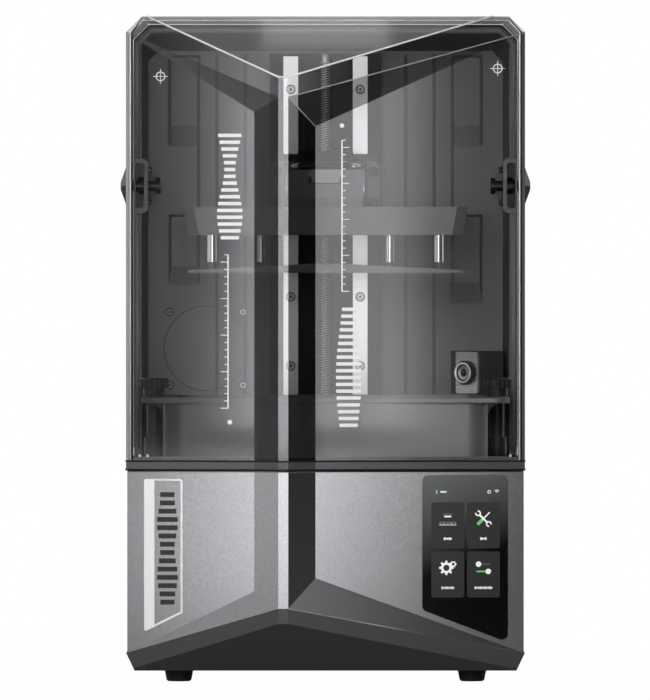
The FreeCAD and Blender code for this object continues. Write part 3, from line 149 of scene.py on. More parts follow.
# metal flake: small cells, each with a brightness of its own
def makeFlakeGroup():
    group, given, result, place = newSurface("metalFlake")
    cells = addNode(group, "ShaderNodeTexVoronoi", {"Vector": place, "Scale": 1.0})
    chance = addNode(group, "ShaderNodeSeparateColor", {"Color": cells.outputs["Color"]}).outputs
    clouds = addNoise(group, place, Scale=0.35, Detail=3.0)
    applySignal(group, given, result, mixValue(group, 0.45, chance[0], clouds), chance[1])
    return group


# machining lines: noise that the scale stretches along the tool's path
def makeBrushGroup():
    group, given, result, place = newSurface("machiningLines")
    lines = addNoise(group, place, Detail=5.0, Roughness=0.65)
    applySignal(group, given, result, lines, lines)
    return group


# lid facet shade: painted shade, the slopes beside the crest and the bands below the brow are darker and less
# clear than the panels by the way they face
lidFacetShade = {"slope": 0.3, "band": 0.1, "bandShare": 0.72, "edgeBlend": 0.5, "edgePower": 5.0}


def makeFacetGroup():
    inputs = {"Panel": "value", "Facet": "value", "PanelColour": "colour", "FacetShadeColour": "colour"}
    group, given, result = newGroup("facetShade", inputs, {"Alpha": "value", "Colour": "colour"})
    facing = addNode(group, "ShaderNodeTexCoord").outputs["Normal"]
    part = addNode(group, "ShaderNodeSeparateXYZ", {"Vector": facing}).outputs
    turned = calculate(group, "ABSOLUTE", calculate(group, "MULTIPLY", part["X"], part["Y"]))
    slope = calculate(group, "GREATER_THAN", turned, lidFacetShade["slope"])
    tilted = calculate(group, "MULTIPLY", part["Y"], part["Z"])
    band = calculate(group, "GREATER_THAN", tilted, lidFacetShade["band"])
    dark = calculate(group, "MAXIMUM", slope, calculate(group, "MULTIPLY", band, lidFacetShade["bandShare"]))
    group.links.new(mixValue(group, dark, given["Panel"], given["Facet"]), result["Alpha"])
    group.links.new(mixColour(group, dark, given["PanelColour"], given["FacetShadeColour"]), result["Colour"])
    return group


surfaceGroups = {"grain": makeGrainGroup(), "flake": makeFlakeGroup(), "lines": makeBrushGroup()}
facetShade = makeFacetGroup()
print("surface groups made:", len(surfaceGroups) + 1)


def newMaterial(name):
    material = bpy.data.materials.new(name)
    material.use_nodes = True
    tree = material.node_tree
    shader = next(node for node in tree.nodes if node.type == "BSDF_PRINCIPLED")
    return material, tree, shader


def grey(level, tint=0.0):
    return (level, level, level * (1 + tint), 1)


# clear plastic: painted shade on its facets by the way they face, and a full reflection where it is seen edge
# on
def shadeFacets(tree, shader, surface, look):
    panel, facet = look["facets"]
    values = {"Panel": panel, "Facet": facet, "PanelColour": look["colour"],
              "FacetShadeColour": look["facetShadeColour"]}
    tint = addNode(tree, "ShaderNodeGroup", values, node_tree=facetShade)
    tree.links.new(tint.outputs["Colour"], surface.inputs["Colour"])
    edge = addNode(tree, "ShaderNodeLayerWeight", {"Blend": lidFacetShade["edgeBlend"]}).outputs["Facing"]
    sharp = calculate(tree, "POWER", edge, lidFacetShade["edgePower"])
    tree.links.new(calculate(tree, "MAXIMUM", tint.outputs["Alpha"], sharp), shader.inputs["Alpha"])


# painted light and shade: a colour that changes along one direction of the object
def paintedLightFade(tree, surface, look):
    axis, start, end = look["paintedLightSpan"]
    place = addNode(tree, "ShaderNodeTexCoord").outputs["Object"]
    along = addNode(tree, "ShaderNodeVectorMath", {0: place, 1: axis}, operation="DOT_PRODUCT")
    share = mapRange(tree, along.outputs["Value"], (start, end))
    tree.links.new(mixColour(tree, share, look["colour"], look["paintedLightFade"]), surface.inputs["Colour"])


shaderSockets = {"metallic": "Metallic", "specular": "Specular IOR Level", "alpha": "Alpha",
                 "glow": "Emission Strength", "glowColour": "Emission Color"}


def makeFinish(name, look):
    material, tree, shader = newMaterial(name)
    scale = look["scale"]
    values = {"Colour": look["colour"], "Scale": scale if isinstance(scale, tuple) else (scale,) * 3,
              "Mottle": look["mottle"], "Roughness": look["roughness"], "Spread": look["spread"]}
    surface = addNode(tree, "ShaderNodeGroup", values, node_tree=surfaceGroups[look["surface"]])
    values = {"Height": surface.outputs["Height"], "Distance": look["bump"], "Strength": 1.0}
    bump = addNode(tree, "ShaderNodeBump", values)
    tree.links.new(surface.outputs["Colour"], shader.inputs["Base Color"])
    tree.links.new(surface.outputs["Roughness"], shader.inputs["Roughness"])
    tree.links.new(bump.outputs["Normal"], shader.inputs["Normal"])
    for key, socket in shaderSockets.items():
        if key in look:
            shader.inputs[socket].default_value = look[key]
    if "facets" in look:
        shadeFacets(tree, shader, surface, look)
    if "paintedLightSpan" in look:
        paintedLightFade(tree, surface, look)
    return material


# kinds of finish with their usual values: the texture's scale, how far the colour varies (mottle) and the
# roughness (spread), and the bump's depth in metres
moulded = {"surface": "grain", "scale": 2400.0, "mottle": 0.2, "roughness": 0.4, "spread": 0.12,
           "bump": 0.00002}
plain = {"surface": "grain", "scale": 900.0, "mottle": 0.1, "roughness": 0.4, "spread": 0.1, "bump": 0.0}
flaked = {"surface": "flake", "scale": 2200.0, "mottle": 0.2, "roughness": 0.36, "spread": 0.12,
          "bump": 0.00001, "metallic": 1.0}
machined = {"surface": "lines", "mottle": 0.2, "roughness": 0.35, "spread": 0.15, "bump": 0.000004,
            "metallic": 1.0}

# every finish, with what differs from its kind
finishes = {
    "casingSilver": dict(flaked, colour=grey(0.38, 0.04), scale=2000.0, mottle=0.42, roughness=0.22,
        spread=0.08, bump=0.000005),
    "skirtDark": dict(moulded, colour=grey(0.042, 0.04), scale=2500.0, mottle=0.25, roughness=0.42,
        spread=0.15, bump=0.00003),
    "footRubber": dict(moulded, colour=grey(0.012), scale=1500.0, mottle=0.4, roughness=0.55, spread=0.2,
        bump=0.00005),
    "deckDark": dict(moulded, colour=grey(0.08, 0.03), scale=2000.0, mottle=0.25, spread=0.15,
        bump=0.00003),
    "linerGrey": dict(moulded, colour=grey(0.105, 0.07), scale=2200.0, roughness=0.45, bump=0.00003),
    # painted shade: the lid rim and hinge caps darken towards the right
    "capDark": dict(moulded, colour=grey(0.06, 0.05), roughness=0.38, paintedLightSpan=((1.0, 0.0, 0.0), -0.02, 0.12),
        paintedLightFade=grey(0.034, 0.05)),
    "bracketGrey": dict(moulded, colour=grey(0.12, 0.04)),
    "railSteel": dict(machined, colour=grey(0.78, 0.02), scale=(700.0, 700.0, 6.0), mottle=0.08,
        roughness=0.3, spread=0.06),
    "screwSteel": dict(machined, colour=grey(0.98, 0.02), scale=(900.0, 900.0, 300.0), mottle=0.1,
        roughness=0.34, spread=0.06, bump=0.000003, metallic=0.7),
    # near-white steel as painted highlights: the lens ring and glints on the deck pins
    "steelHighlight": dict(machined, colour=grey(0.95, 0.02), scale=(900.0, 900.0, 300.0), mottle=0.1,
        roughness=0.3, bump=0.000003, metallic=0.15),
    "darkSteel": dict(machined, colour=grey(0.06), scale=(700.0, 700.0, 40.0), mottle=0.3, roughness=0.32,
        spread=0.2),
    "pillarChrome": dict(machined, colour=grey(0.8, 0.02), scale=(60.0, 60.0, 1500.0), mottle=0.08,
        roughness=0.1, spread=0.1, bump=0.000002),
    "platformAlloy": dict(machined, colour=grey(0.12, 0.04), scale=(15.0, 900.0, 900.0), roughness=0.4,
        metallic=0.12),
    "plateAlloy": dict(machined, colour=grey(0.11, 0.03), scale=(15.0, 900.0, 900.0), roughness=0.36,
        metallic=0.5),
    "armAlloy": dict(flaked, colour=grey(0.14, 0.03), mottle=0.25),
    # painted highlight for the arm's nose ends and corners
    "noseHighlight": dict(machined, colour=grey(0.9, 0.03), scale=(20.0, 900.0, 900.0), mottle=0.1,
        roughness=0.22, spread=0.1, bump=0.000003),
    "leverAlloy": dict(flaked, colour=grey(0.24, 0.03), roughness=0.34, metallic=0.6),
    "screwGrey": dict(machined, colour=grey(0.15, 0.03), scale=(900.0, 40.0, 900.0), metallic=0.2),
    "screwPale": dict(machined, colour=grey(0.5, 0.03), scale=(900.0, 40.0, 900.0), metallic=0.2),
    # painted shade in the rails' counterbores
    "boreShadeGrey": dict(moulded, colour=grey(0.16, 0.03), bump=0.00001),
    "columnAlloy": dict(machined, colour=grey(0.03, 0.03), scale=(1200.0, 1200.0, 15.0), roughness=0.42,
        metallic=0.6),
    # painted light: the vat grows lighter towards the right
    "vatAlloy": dict(flaked, colour=grey(0.05, 0.05), scale=2600.0, roughness=0.38, spread=0.1,
        bump=0.000003, metallic=0.4, paintedLightSpan=((1.0, 0.0, 0.0), -0.13, 0.08), paintedLightFade=grey(0.19, 0.04)),
    "knobBlack": dict(moulded, colour=grey(0.022), scale=2600.0, mottle=0.25, roughness=0.3, spread=0.15,
        specular=0.3),
    "nutBrass": dict(machined, colour=(0.55, 0.38, 0.14, 1), scale=(900.0, 30.0, 900.0), mottle=0.25,
        roughness=0.3, bump=0.000005),
    # painted highlight: the camera face grows much brighter towards its bottom
    "cameraSilver": dict(machined, colour=grey(0.55, 0.02), scale=(30.0, 30.0, 1400.0), mottle=0.05,
        roughness=0.28, spread=0.06, bump=0.000002, metallic=0.7,
        paintedLightSpan=((0.0, 0.0, -1.0), -0.2660, -0.2400), paintedLightFade=grey(0.98, 0.02)),
    "cameraDark": dict(moulded, colour=grey(0.02), scale=2600.0, mottle=0.25, roughness=0.32),
    "boardGreen": dict(moulded, colour=(0.01, 0.09, 0.04, 1), scale=900.0, mottle=0.4, spread=0.2,
        bump=0.00003),
    "innerAlloy": dict(machined, colour=grey(0.5), scale=(900.0, 20.0, 900.0), bump=0.000005),
    "fanBlack": dict(moulded, colour=grey(0.015), scale=2000.0, mottle=0.25, roughness=0.42, spread=0.15,
        bump=0.00003),
    "badgePale": dict(moulded, colour=grey(0.95), scale=3000.0, mottle=0.05, roughness=0.45, spread=0.1,
        bump=0.000005),
    "exposureGlass": dict(plain, colour=grey(0.012, 0.3), scale=300.0, mottle=0.2, roughness=0.1),
    "lensGlass": dict(plain, colour=grey(0.004), scale=300.0, mottle=0.2, roughness=0.06, spread=0.04,
        specular=1.0),
    # painted reflection: the touch screen glass grows lighter towards its upper left
    "screenGlass": dict(plain, colour=grey(0.004), scale=250.0, mottle=0.2, roughness=0.12, spread=0.12,
        specular=0.15, paintedLightSpan=((-0.4, 0.0, 1.0), 0.055, 0.142), paintedLightFade=grey(0.16, 0.02)),
    "filmClear": dict(plain, colour=grey(0.6), scale=400.0, roughness=0.15, alpha=0.35),
    # smoky lid: painted shade makes the slopes and bands darker and less clear than the panels
    "lidSmoke": dict(plain, colour=grey(0.30, 0.04), scale=120.0, mottle=0.12, roughness=0.06,
        spread=0.02, metallic=1.0, facets=(0.12, 0.52), facetShadeColour=grey(0.05, 0.04)),
    "printWhite": dict(moulded, colour=grey(0.85), scale=3000.0, mottle=0.04, roughness=0.5, spread=0.1,
        bump=0.000004),
    "printDark": dict(moulded, colour=grey(0.015), scale=3000.0, roughness=0.45, spread=0.1,
        bump=0.000004),
    # painted highlights on the lid's edges and folds
    "edgeHighlight": dict(plain, colour=grey(0.95), scale=800.0, mottle=0.06, roughness=0.2, alpha=0.92),
    "softEdgeHighlight": dict(plain, colour=grey(0.6), scale=800.0, roughness=0.25, alpha=0.4),
    "grooveShade": dict(plain, colour=grey(0.035, 0.05), scale=2200.0, mottle=0.2, roughness=0.5,
        spread=0.12),
    "edgeGrey": dict(plain, colour=grey(0.22, 0.03), scale=800.0, roughness=0.35),
    "edgeDark": dict(plain, colour=grey(0.01), scale=800.0, roughness=0.3),
    "screenTile": dict(plain, colour=grey(0.014, 0.05), mottle=0.15, roughness=0.3),
    # painted highlight: a lighter copy of the casing silver for its edges
    "casingEdgeHighlight": dict(flaked, colour=grey(0.7, 0.03), scale=2600.0, mottle=0.1, roughness=0.3,
        spread=0.08, bump=0.0),
    "screenGrey": dict(plain, colour=grey(0.09)),
    "screenWhite": dict(plain, colour=grey(0.75), glow=0.3, glowColour=grey(1.0)),
    "screenGreen": dict(plain, colour=(0.12, 0.55, 0.12, 1), glow=0.15, glowColour=(0.2, 0.9, 0.2, 1)),
}
materials = {name: makeFinish(name, look) for name, look in finishes.items()}
print("finishes made:", len(materials))

nodeFinishes = {
    "casingSilver": ["base_housing"],
    "skirtDark": ["floor_pan", "rear_cover"],
    "footRubber": ["foot_front_left", "foot_front_right", "foot_rear_left", "foot_rear_right"],
    "deckDark": ["deck_plate"],
    "linerGrey": ["rear_liner", "filter_cover"],
    "capDark": ["lid_rim", "hinge_cap_left", "hinge_cap_right"],
    "bracketGrey": ["hinge_bracket_left", "hinge_bracket_right"],
    "railSteel": ["rail_left", "rail_right", "lead_screw", "lever_pin", "usb_port"],
    "darkSteel": ["hinge_pin_left", "hinge_pin_right", "screw_bearings", "rail_block_left",
                  "rail_block_right", "z_motor"],
    "pillarChrome": ["platform_pillars"],
    "platformAlloy": ["platform_block"],
    "plateAlloy": ["build_plate"],
    "armAlloy": ["z_arm", "carriage_plate"],
    "leverAlloy": ["arm_lever"],
    "columnAlloy": ["z_column"],
    "vatAlloy": ["vat_body", "film_frame"],
    "filmClear": ["vat_film"],
    "knobBlack": ["vat_knob_left", "vat_knob_right", "vat_posts"],
    "nutBrass": ["screw_nut"],
    "cameraSilver": ["camera_face"],
    "cameraDark": ["camera_mount", "camera_lens"],
    "boardGreen": ["display_module", "main_board"],
    "innerAlloy": ["light_box", "led_board", "led_heatsink", "motor_mount", "screw_coupler"],
    "fanBlack": ["fan_frame", "fan_rotor", "power_inlet", "switch_bezel", "power_switch"],
    "badgePale": ["badge_plate"],
    "exposureGlass": ["lcd_panel"],
    "screenGlass": ["touch_screen"],
    "lidSmoke": ["lid_shell"],
}
for finish, names in nodeFinishes.items():
    for name in names:
        slots = nodes[name].data.materials
        if len(slots) == 0:
            slots.append(None)
        for n in range(len(slots)):
            slots[n] = materials[finish]
print("nodes dressed:", sum(len(names) for names in nodeFinishes.values()))


# mesh helpers: each adds to a bmesh, and placePiece turns that into an object on a body
def placePiece(name, shape, body, finish, smooth=False):
    bmesh.ops.recalc_face_normals(shape, faces=shape.faces)
    mesh = bpy.data.meshes.new(name)
    shape.to_mesh(mesh)
    shape.free()
    mesh.materials.append(materials[finish])
    if smooth:
        mesh.shade_smooth()
    piece = bpy.data.objects.new(name, mesh)
    bpy.context.scene.collection.objects.link(piece)
    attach(piece, body)
    return piece


def joinRings(shape, first, second):
    for n in range(len(first)):
        shape.faces.new((first[n - 1], first[n], second[n], second[n - 1]))


def closeTube(shape, rings):
    for first, second in zip(rings, rings[1:]):
        joinRings(shape, first, second)
    shape.faces.new(rings[0][::-1])
    shape.faces.new(rings[-1])


def addSlab(shape, outline, depth):
    ends = (Vector(), Vector(depth))
    closeTube(shape, [[shape.verts.new(Vector(spot) + end) for spot in outline] for end in ends])


# a round bead along a path; "up" is any direction the path never runs along
def addBead(shape, path, radius, up=(0, 1, 0), sides=8):
    path = [Vector(spot) for spot in path]
    turns = [2 * math.pi * n / sides for n in range(sides)]
    rings = []
    for n, spot in enumerate(path):
        ahead = (path[min(n + 1, len(path) - 1)] - path[max(n - 1, 0)]).normalized()
        side = ahead.cross(Vector(up)).normalized()
        over = side.cross(ahead)
        reaches = [(side * math.cos(turn) + over * math.sin(turn)) * radius for turn in turns]
        rings.append([shape.verts.new(spot + reach) for reach in reaches])
    closeTube(shape, rings)


# a ring of corners about an axis; a hex ring is measured across its flats
def turnedRing(shape, radius, height, place, axis, steps, isHex=False):
    turn = Vector(axis).to_track_quat("Z", "Y").to_matrix()
    ring = []
    for n in range(steps):
        angle = 2 * math.pi * n / steps
        corner = (angle + math.pi / 6) % (math.pi / 3) - math.pi / 6
        reach = radius / math.cos(corner) if isHex else radius
        spot = Vector((reach * math.cos(angle), reach * math.sin(angle), height))
        ring.append(shape.verts.new(Vector(place) + turn @ spot))
    return ring


# rows of radius and height, in shares of the given ones, turned about an axis; a "hex" row has six sides
def addTurned(shape, rows, place, axis, radius=1, height=1, steps=18):
    rings = []
    for row in rows:
        isHex = row[-1] == "hex"
        rings.append(turnedRing(shape, radius * row[0], height * row[1], place, axis, steps, isHex))
    closeTube(shape, rings)


# a flat ring, as round the head of a sunk screw
def addRing(shape, outer, inner, low, high, place, axis, steps=24):
    rows = ((outer, low), (outer, high), (inner, high), (inner, low))
    rings = [turnedRing(shape, *row, place, axis, steps) for row in rows]
    for first, second in zip(rings, rings[1:] + rings[:1]):
        joinRings(shape, first, second)


# whole pieces of one kind: beads, each a path and a radius, or slabs that share a depth
def placeBeads(name, body, finish, beads, up=(0, 1, 0), sides=8):
    shape = bmesh.new()
    for path, radius in beads:
        addBead(shape, path, radius, up, sides)
    placePiece(name, shape, body, finish, smooth=True)


def placeSlabs(name, body, finish, outlines, depth):
    shape = bmesh.new()
    for outline in outlines:
        addSlab(shape, outline, (0, depth, 0))
    placePiece(name, shape, body, finish)


# a plan in X and Y at one height, and an outline in X and Z at one depth
def level(plan, z):
    return [(x, y, z) for x, y in plan]


def upright(outline, y):
    return [(x, y, z) for x, z in outline]


def spanOutline(left, right, low, high):
    return [(left, low), (right, low), (right, high), (left, high)]


def barOutline(x, z, halfWidth, halfHeight):
    return spanOutline(x - halfWidth, x + halfWidth, z - halfHeight, z + halfHeight)


def roundedOutline(left, right, low, high, radius, steps=5):
    outline = []
    corners = [(right, high, 0), (left, high, 90), (left, low, 180), (right, low, 270)]
    for x, z, start in corners:
        middleX = x - radius if x == right else x + radius
        middleZ = z - radius if z == high else z + radius
        for n in range(steps + 1):
            angle = math.radians(start + 90 * n / steps)
            outline.append((middleX + radius * math.cos(angle), middleZ + radius * math.sin(angle)))
    return outline


def circlePoints(x, z, radius, steps=24, start=0.0, sweep=360.0):
    turns = [math.radians(start + sweep * n / steps) for n in range(steps + 1)]
    return [(x + radius * math.cos(t), z + radius * math.sin(t)) for t in turns]


# the front in plan: its side corners, and the folds and the crest of the prow between them
prow = {
    "lidHalf": 0.164,
    "baseHalf": 0.163,
    "side": -0.140,
    "foldLeft": (-0.0585, -0.152),
    "crestLeft": (-0.0387, -0.165),
    "crestRight": (-0.0305, -0.165),
    "foldRight": (-0.0082, -0.153),
}


def frontPlan(half, side):
    middle = [prow[key] for key in ("foldLeft", "crestLeft", "crestRight", "foldRight")]
    return [(-half, side), *middle, (half, side)]


# front panels in plan, each from its left end to its right end
panels = {}
for part in ("lid", "base"):
    plan = frontPlan(prow[part + "Half"], prow["side"])
    panels[part + "Left"] = plan[:2]
    panels[part + "Right"] = plan[-2:]


# the outlines of a line through points, one for each stretch
def lineOutlines(points, width):
    outlines = []
    for (startX, startZ), (endX, endZ) in zip(points, points[1:]):
        share = width / 2 / math.hypot(endX - startX, endZ - startZ)
        sideX, sideZ = (startZ - endZ) * share, (endX - startX) * share
        outlines.append([(startX + sideX, startZ + sideZ), (endX + sideX, endZ + sideZ),
                         (endX - sideX, endZ - sideZ), (startX - sideX, startZ - sideZ)])
    return outlines


# a pen prints outlines in X and Z, from an origin, as thin slabs on a panel
def makePen(panel, lift, depth, originX=0.0, originZ=0.0):
    (x0, y0), (x1, y1) = panels[panel]
    normal = Vector((y1 - y0, x0 - x1, 0)).normalized()

    def mark(shape, *outlines):
        for outline in outlines:
            ring = []
            for offX, offZ in outline:
                x = originX + offX
                y = y0 + (y1 - y0) * (x - x0) / (x1 - x0)
                ring.append(Vector((x, y, originZ + offZ)) + normal * lift)
            addSlab(shape, ring, normal * depth)

    return mark


# lid edges: beads where the facets meet and along the sides, near white as painted highlights, softer painted
# highlights along the folds, dark joints, and painted shade on the wall ends at the two sides, lighter on the
# left than on the right
lidEdges = {
    "top": 0.548,
    "low": 0.1825,
    "corner": 0.013,
    "brow": 0.0008,
    "browEnds": ((-0.1470, -0.1434), (0.1375, -0.1434)),
    "crestHigh": 0.4977,
    "side": 0.0006,
    "sideInset": (0.0035, 0.0044),
    "topInset": 0.0034,
    "lip": (0.0026, 0.0005),
    "lipDepth": 0.0008,
    "band": 0.0006,
    "bandHigh": 0.481,
    "bandSide": 0.5345,
    "foldHigh": 0.4574,
    "joint": 0.0007,
    "jointInset": (0.0051, 0.0030),
    "wall": (0.0024, 0.0030),
    "wallProud": 0.0003,
    "wallNames": ("lidWallLeft", "lidWallRight"),
    "wallShadeFinishes": ("edgeGrey", "edgeDark"),
}


def addLidEdges():
    look = lidEdges
    half, y, top, low = prow["lidHalf"], prow["side"], look["top"], look["low"]
    shoulder, wide, line = top - look["corner"], half - look["corner"], top - look["topInset"]
    sides = (-1, 1)

    def sidePath(side, inset, high):
        edge = side * (half - inset)
        return [(edge, y, low), (edge, y, shoulder), (side * wide, y, high)]

    browLeft, browRight = look["browEnds"]
    crest = level((prow["crestLeft"], prow["crestRight"]), look["crestHigh"])
    beads = [([(*browLeft, top), *crest, (*browRight, top)], look["brow"])]
    beads += [(sidePath(side, inset, line), look["side"]) for side, inset in zip(sides, look["sideInset"])]
    beads.append(([(-wide, y, line), (wide, y, line)], look["side"]))
    placeBeads("lidEdges", "lid", "edgeHighlight", beads)

    under, over = [top - drop for drop in look["lip"]]
    lip = upright(spanOutline(-wide, wide, under, over), y)
    placeSlabs("lidLip", "lid", "edgeGrey", [lip], look["lipDepth"])

    bandStart, bandEnd = (*prow["crestRight"], look["bandHigh"]), (half, y, look["bandSide"])
    fold = (*prow["foldRight"], look["foldHigh"])
    folds = [([bandStart, bandEnd], look["band"]), ([fold, bandStart], look["band"])]
    placeBeads("lidFolds", "lid", "softEdgeHighlight", folds)

    high = line + 2 * look["joint"]
    joints = [(sidePath(side, inset, high), look["joint"]) for side, inset in zip(sides, look["jointInset"])]
    placeBeads("lidJoints", "lid", "edgeDark", joints)

    proud = look["wallProud"]
    # the wall ends are painted shade, grey on the left and dark on the right
    for side, name, finish, thick in zip(sides, look["wallNames"], look["wallShadeFinishes"], look["wall"]):
        left, right = sorted((side * half, side * (half - thick)))
        wall = upright(spanOutline(left, right, low, shoulder), y - proud)
        placeSlabs(name, "lid", finish, [wall], proud)


addLidEdges()

# lid seal: black gaskets above and below the rim
lidSeal = {"heights": (0.1824, 0.1753), "radius": 0.0007, "rear": 0.056, "proud": 0.0001}


def addLidSeal():
    half, side, rear = prow["lidHalf"] + lidSeal["proud"], prow["side"] - lidSeal["proud"], lidSeal["rear"]
    plan = [(-half, rear), *frontPlan(half, side), (half, rear)]
    beads = [(level(plan, height), lidSeal["radius"]) for height in lidSeal["heights"]]
    placeBeads("lidSeal", "lid", "edgeDark", beads, up=(0, 0, 1))


addLidSeal()

# tower seal: a black lip round the tower's frame that meets the inside of the lid
towerSeal = {"y": 0.0468, "halfWidth": 0.1608, "top": 0.5445, "corner": 0.0125, "low": 0.190,
             "radius": 0.0006, "topRadius": 0.0009}


def addTowerSeal():
    look = towerSeal
    y, half, top = look["y"], look["halfWidth"], look["top"]
    shoulder, wide = top - look["corner"], half - look["corner"]
    beads = [([(-wide, y, top), (wide, y, top)], look["topRadius"])]
    for edge, bend in ((-half, -wide), (half, wide)):
        beads.append(([(edge, y, look["low"]), (edge, y, shoulder)], look["radius"]))
        beads.append(([(edge, y, shoulder), (bend, y, top)], look["topRadius"]))
    placeBeads("towerSeal", "base", "edgeDark", beads)


addTowerSeal()

# tower lip: a rounded edge inside the seal, which stops below and above the hinge brackets
towerLip = {"y": 0.0436, "halfWidth": 0.1577, "top": 0.5400, "corner": 0.0115, "low": 0.190, "under": 0.3865,
            "over": 0.4335, "radius": 0.0016, "sides": 10}


def addTowerLip():
    look = towerLip
    half, top, over = look["halfWidth"], look["top"], look["over"]
    shoulder, wide = top - look["corner"], half - look["corner"]
    outlines = [[(-half, over), (-half, shoulder), (-wide, top), (wide, top), (half, shoulder), (half, over)]]
    outlines += [[(edge, look["low"]), (edge, look["under"])] for edge in (-half, half)]
    beads = [(upright(outline, look["y"]), look["radius"]) for outline in outlines]
    placeBeads("towerLip", "base", "edgeGrey", beads, sides=look["sides"])


addTowerLip()

# casing edges: beads along the top of the base and below its right recess, in a lighter copy of the casing
# silver as painted highlights on the bevels
casingHighlights = {"radius": 0.0004, "topHigh": 0.1737, "seamCrest": 0.0618, "seamSide": 0.025}


def addCasingHighlights():
    look, half, side = casingHighlights, prow["baseHalf"], prow["side"]
    seam = [(*prow["crestRight"], look["seamCrest"]), (half, side, look["seamSide"])]
    shape = bmesh.new()
    addBead(shape, level(frontPlan(half, side), look["topHigh"]), look["radius"], up=(0, 0, 1))
    addBead(shape, seam, look["radius"])
    placePiece("casingHighlights", shape, "base", "casingEdgeHighlight", smooth=True)


addCasingHighlights()

# lid print: a ruler, a stack of layers, a target and a dot on each panel
lidPrint = {
    "lift": 0.00004,
    "depth": 0.00012,
    "rulerLine": 0.0012,
    "tick": 0.003,
    "tickStep": 0.006,
    "tickLine": 0.00072,
    "longTickEvery": 5,
    "layerPitch": 0.0056,
    "layerHalf": 0.0014,
    "layerReach": (0.0075, 0.0030),
    "target": 0.0036,
    "targetLine": 0.00084,
    "crossReach": 0.00612,
    "crossLine": 0.0006,
    "dot": 0.0019,
    "panels": {
        "lidLeft": {"ruler": (-0.0800, 0.226, 0.352), "tickSide": -1, "stack": (-0.0785, 0.366, 16),
                    "swell": 2.4, "target": (-0.1355, 0.4985), "dot": (-0.0785, 0.2145)},
        "lidRight": {"ruler": (0.0135, 0.322, 0.446), "tickSide": 1, "stack": (0.0190, 0.212, 18),
                     "swell": 1.3, "target": (0.1415, 0.5050), "dot": (0.0135, 0.4580)},
    },
}


def addLidPrint():
    look = lidPrint
    shape = bmesh.new()
    for panel, own in look["panels"].items():
        mark = makePen(panel, look["lift"], look["depth"])
        x, low, high = own["ruler"]
        mark(shape, *lineOutlines([(x, low), (x, high)], look["rulerLine"]))
        steps = round((high - low) / look["tickStep"])
        for n in range(steps + 1):
            reach = look["tick"] * (2 if n % look["longTickEvery"] == 0 else 1) * own["tickSide"]
            z = low + (high - low) * n / steps
            mark(shape, *lineOutlines([(x, z), (x + reach, z)], look["tickLine"]))
        x, low, count = own["stack"]
        least, more = look["layerReach"]
        for n in range(count):
            half = least + more * math.sin(own["swell"] * math.pi * n / count)
            mark(shape, barOutline(x, low + look["layerPitch"] * n, half, look["layerHalf"]))
        x, z = own["target"]
        reach = look["crossReach"]
        mark(shape, *lineOutlines(circlePoints(x, z, look["target"]), look["targetLine"]))
        mark(shape, *lineOutlines([(x - reach, z), (x + reach, z)], look["crossLine"]))
        mark(shape, *lineOutlines([(x, z - reach), (x, z + reach)], look["crossLine"]))
        mark(shape, circlePoints(*own["dot"], look["dot"], steps=16)[:-1])
    placePiece("lidPrint", shape, "lid", "printWhite")


addLidPrint()

# badge: a bare silver inset with plain dark layers
badge = {"lift": 0.00082, "depth": 0.0001, "layers": 14, "layerLow": 0.0665, "layerPitch": 0.0068,
         "layerHalf": 0.0020, "layerReach": (0.0058, 0.0028), "swell": 2.2, "middle": -0.1298,
         "inset": ((-0.1405, 0.1664), (-0.1190, 0.1664), (-0.1190, 0.0589), (-0.1405, 0.0482))}


def addBadge():
    look = badge
    shape = bmesh.new()
    mark = makePen("baseLeft", look["lift"], look["depth"])
    mark(shape, look["inset"])
    placePiece("badgeInset", shape, "base", "casingSilver")
    shape = bmesh.new()
    mark = makePen("baseLeft", look["lift"] + look["depth"], look["depth"])
    least, more = look["layerReach"]
    for n in range(look["layers"]):
        half = least + more * math.sin(look["swell"] * math.pi * n / look["layers"]) ** 2
        z = look["layerLow"] + look["layerPitch"] * n
        mark(shape, barOutline(look["middle"], z, half, look["layerHalf"]))
    placePiece("badgeLayers", shape, "base", "printDark")


addBadge()

# touch screen: four tiles with plain icons, a status row and bars in place of words
touchScreen = {
    "lift": 0.00062,
    "depth": 0.00008,
    "columns": ((0.0869, 0.1140), (0.1162, 0.1433)),
    "rows": ((0.1107, 0.1486), (0.0703, 0.1082)),
    "tileRadius": 0.0022,
    "iconRise": 0.0055,
    "labelMarks": (5, 4, 8, 11),
    "labelRise": 0.0080,
    "labelPitch": 0.00135,
    "labelHalfWide": 0.000495,
    "labelHalfHigh": (0.00117, 0.00081, 0.00081),
}
# icons are drawn about the middle of a tile; a bar is its x, z and half sizes, a line its ends and width
plateIcon = {"tray": ((-0.0075, -0.0050), (0.0075, -0.0050), (0.0068, -0.0026), (-0.0068, -0.0026)),
             "dimBar": (0, 0.0036, 0.0040, 0.0009),
             "whiteBars": ((0, -0.0050, 0.0070, 0.0004), (0, 0.0018, 0.0028, 0.0007)),
             "rungs": [(0.0030 * n, -0.0034, 0.0004, 0.0007) for n in range(-2, 3)]}
toolIcon = {"blade": ((0.0052, 0.0052), (-0.0010, -0.0010), 0.0010),
            "grip": ((-0.0008, -0.0008), (-0.0048, -0.0048), 0.0026),
            "spanner": ((-0.0036, 0.0036), (0.0036, -0.0036), 0.0016),
            "jaws": ((-0.0044, 0.0044, 170), (0.0044, -0.0044, -10)),
            "jaw": 0.0019, "jawSweep": 290, "jawLine": 0.0012}
gearIcon = {"gears": ((-0.0012, 0, 0.0036, 8), (0.0045, 0.0030, 0.0017, 6)),
            "rimLine": 0.55, "toothReach": (1.1, 1.65), "toothLine": 0.45}
sliderIcon = {"rows": ((0.0030, -0.0040, "dim"), (-0.0030, 0.0040, "green")),
              "bar": (0.0056, 0.0007), "knob": 0.0023}
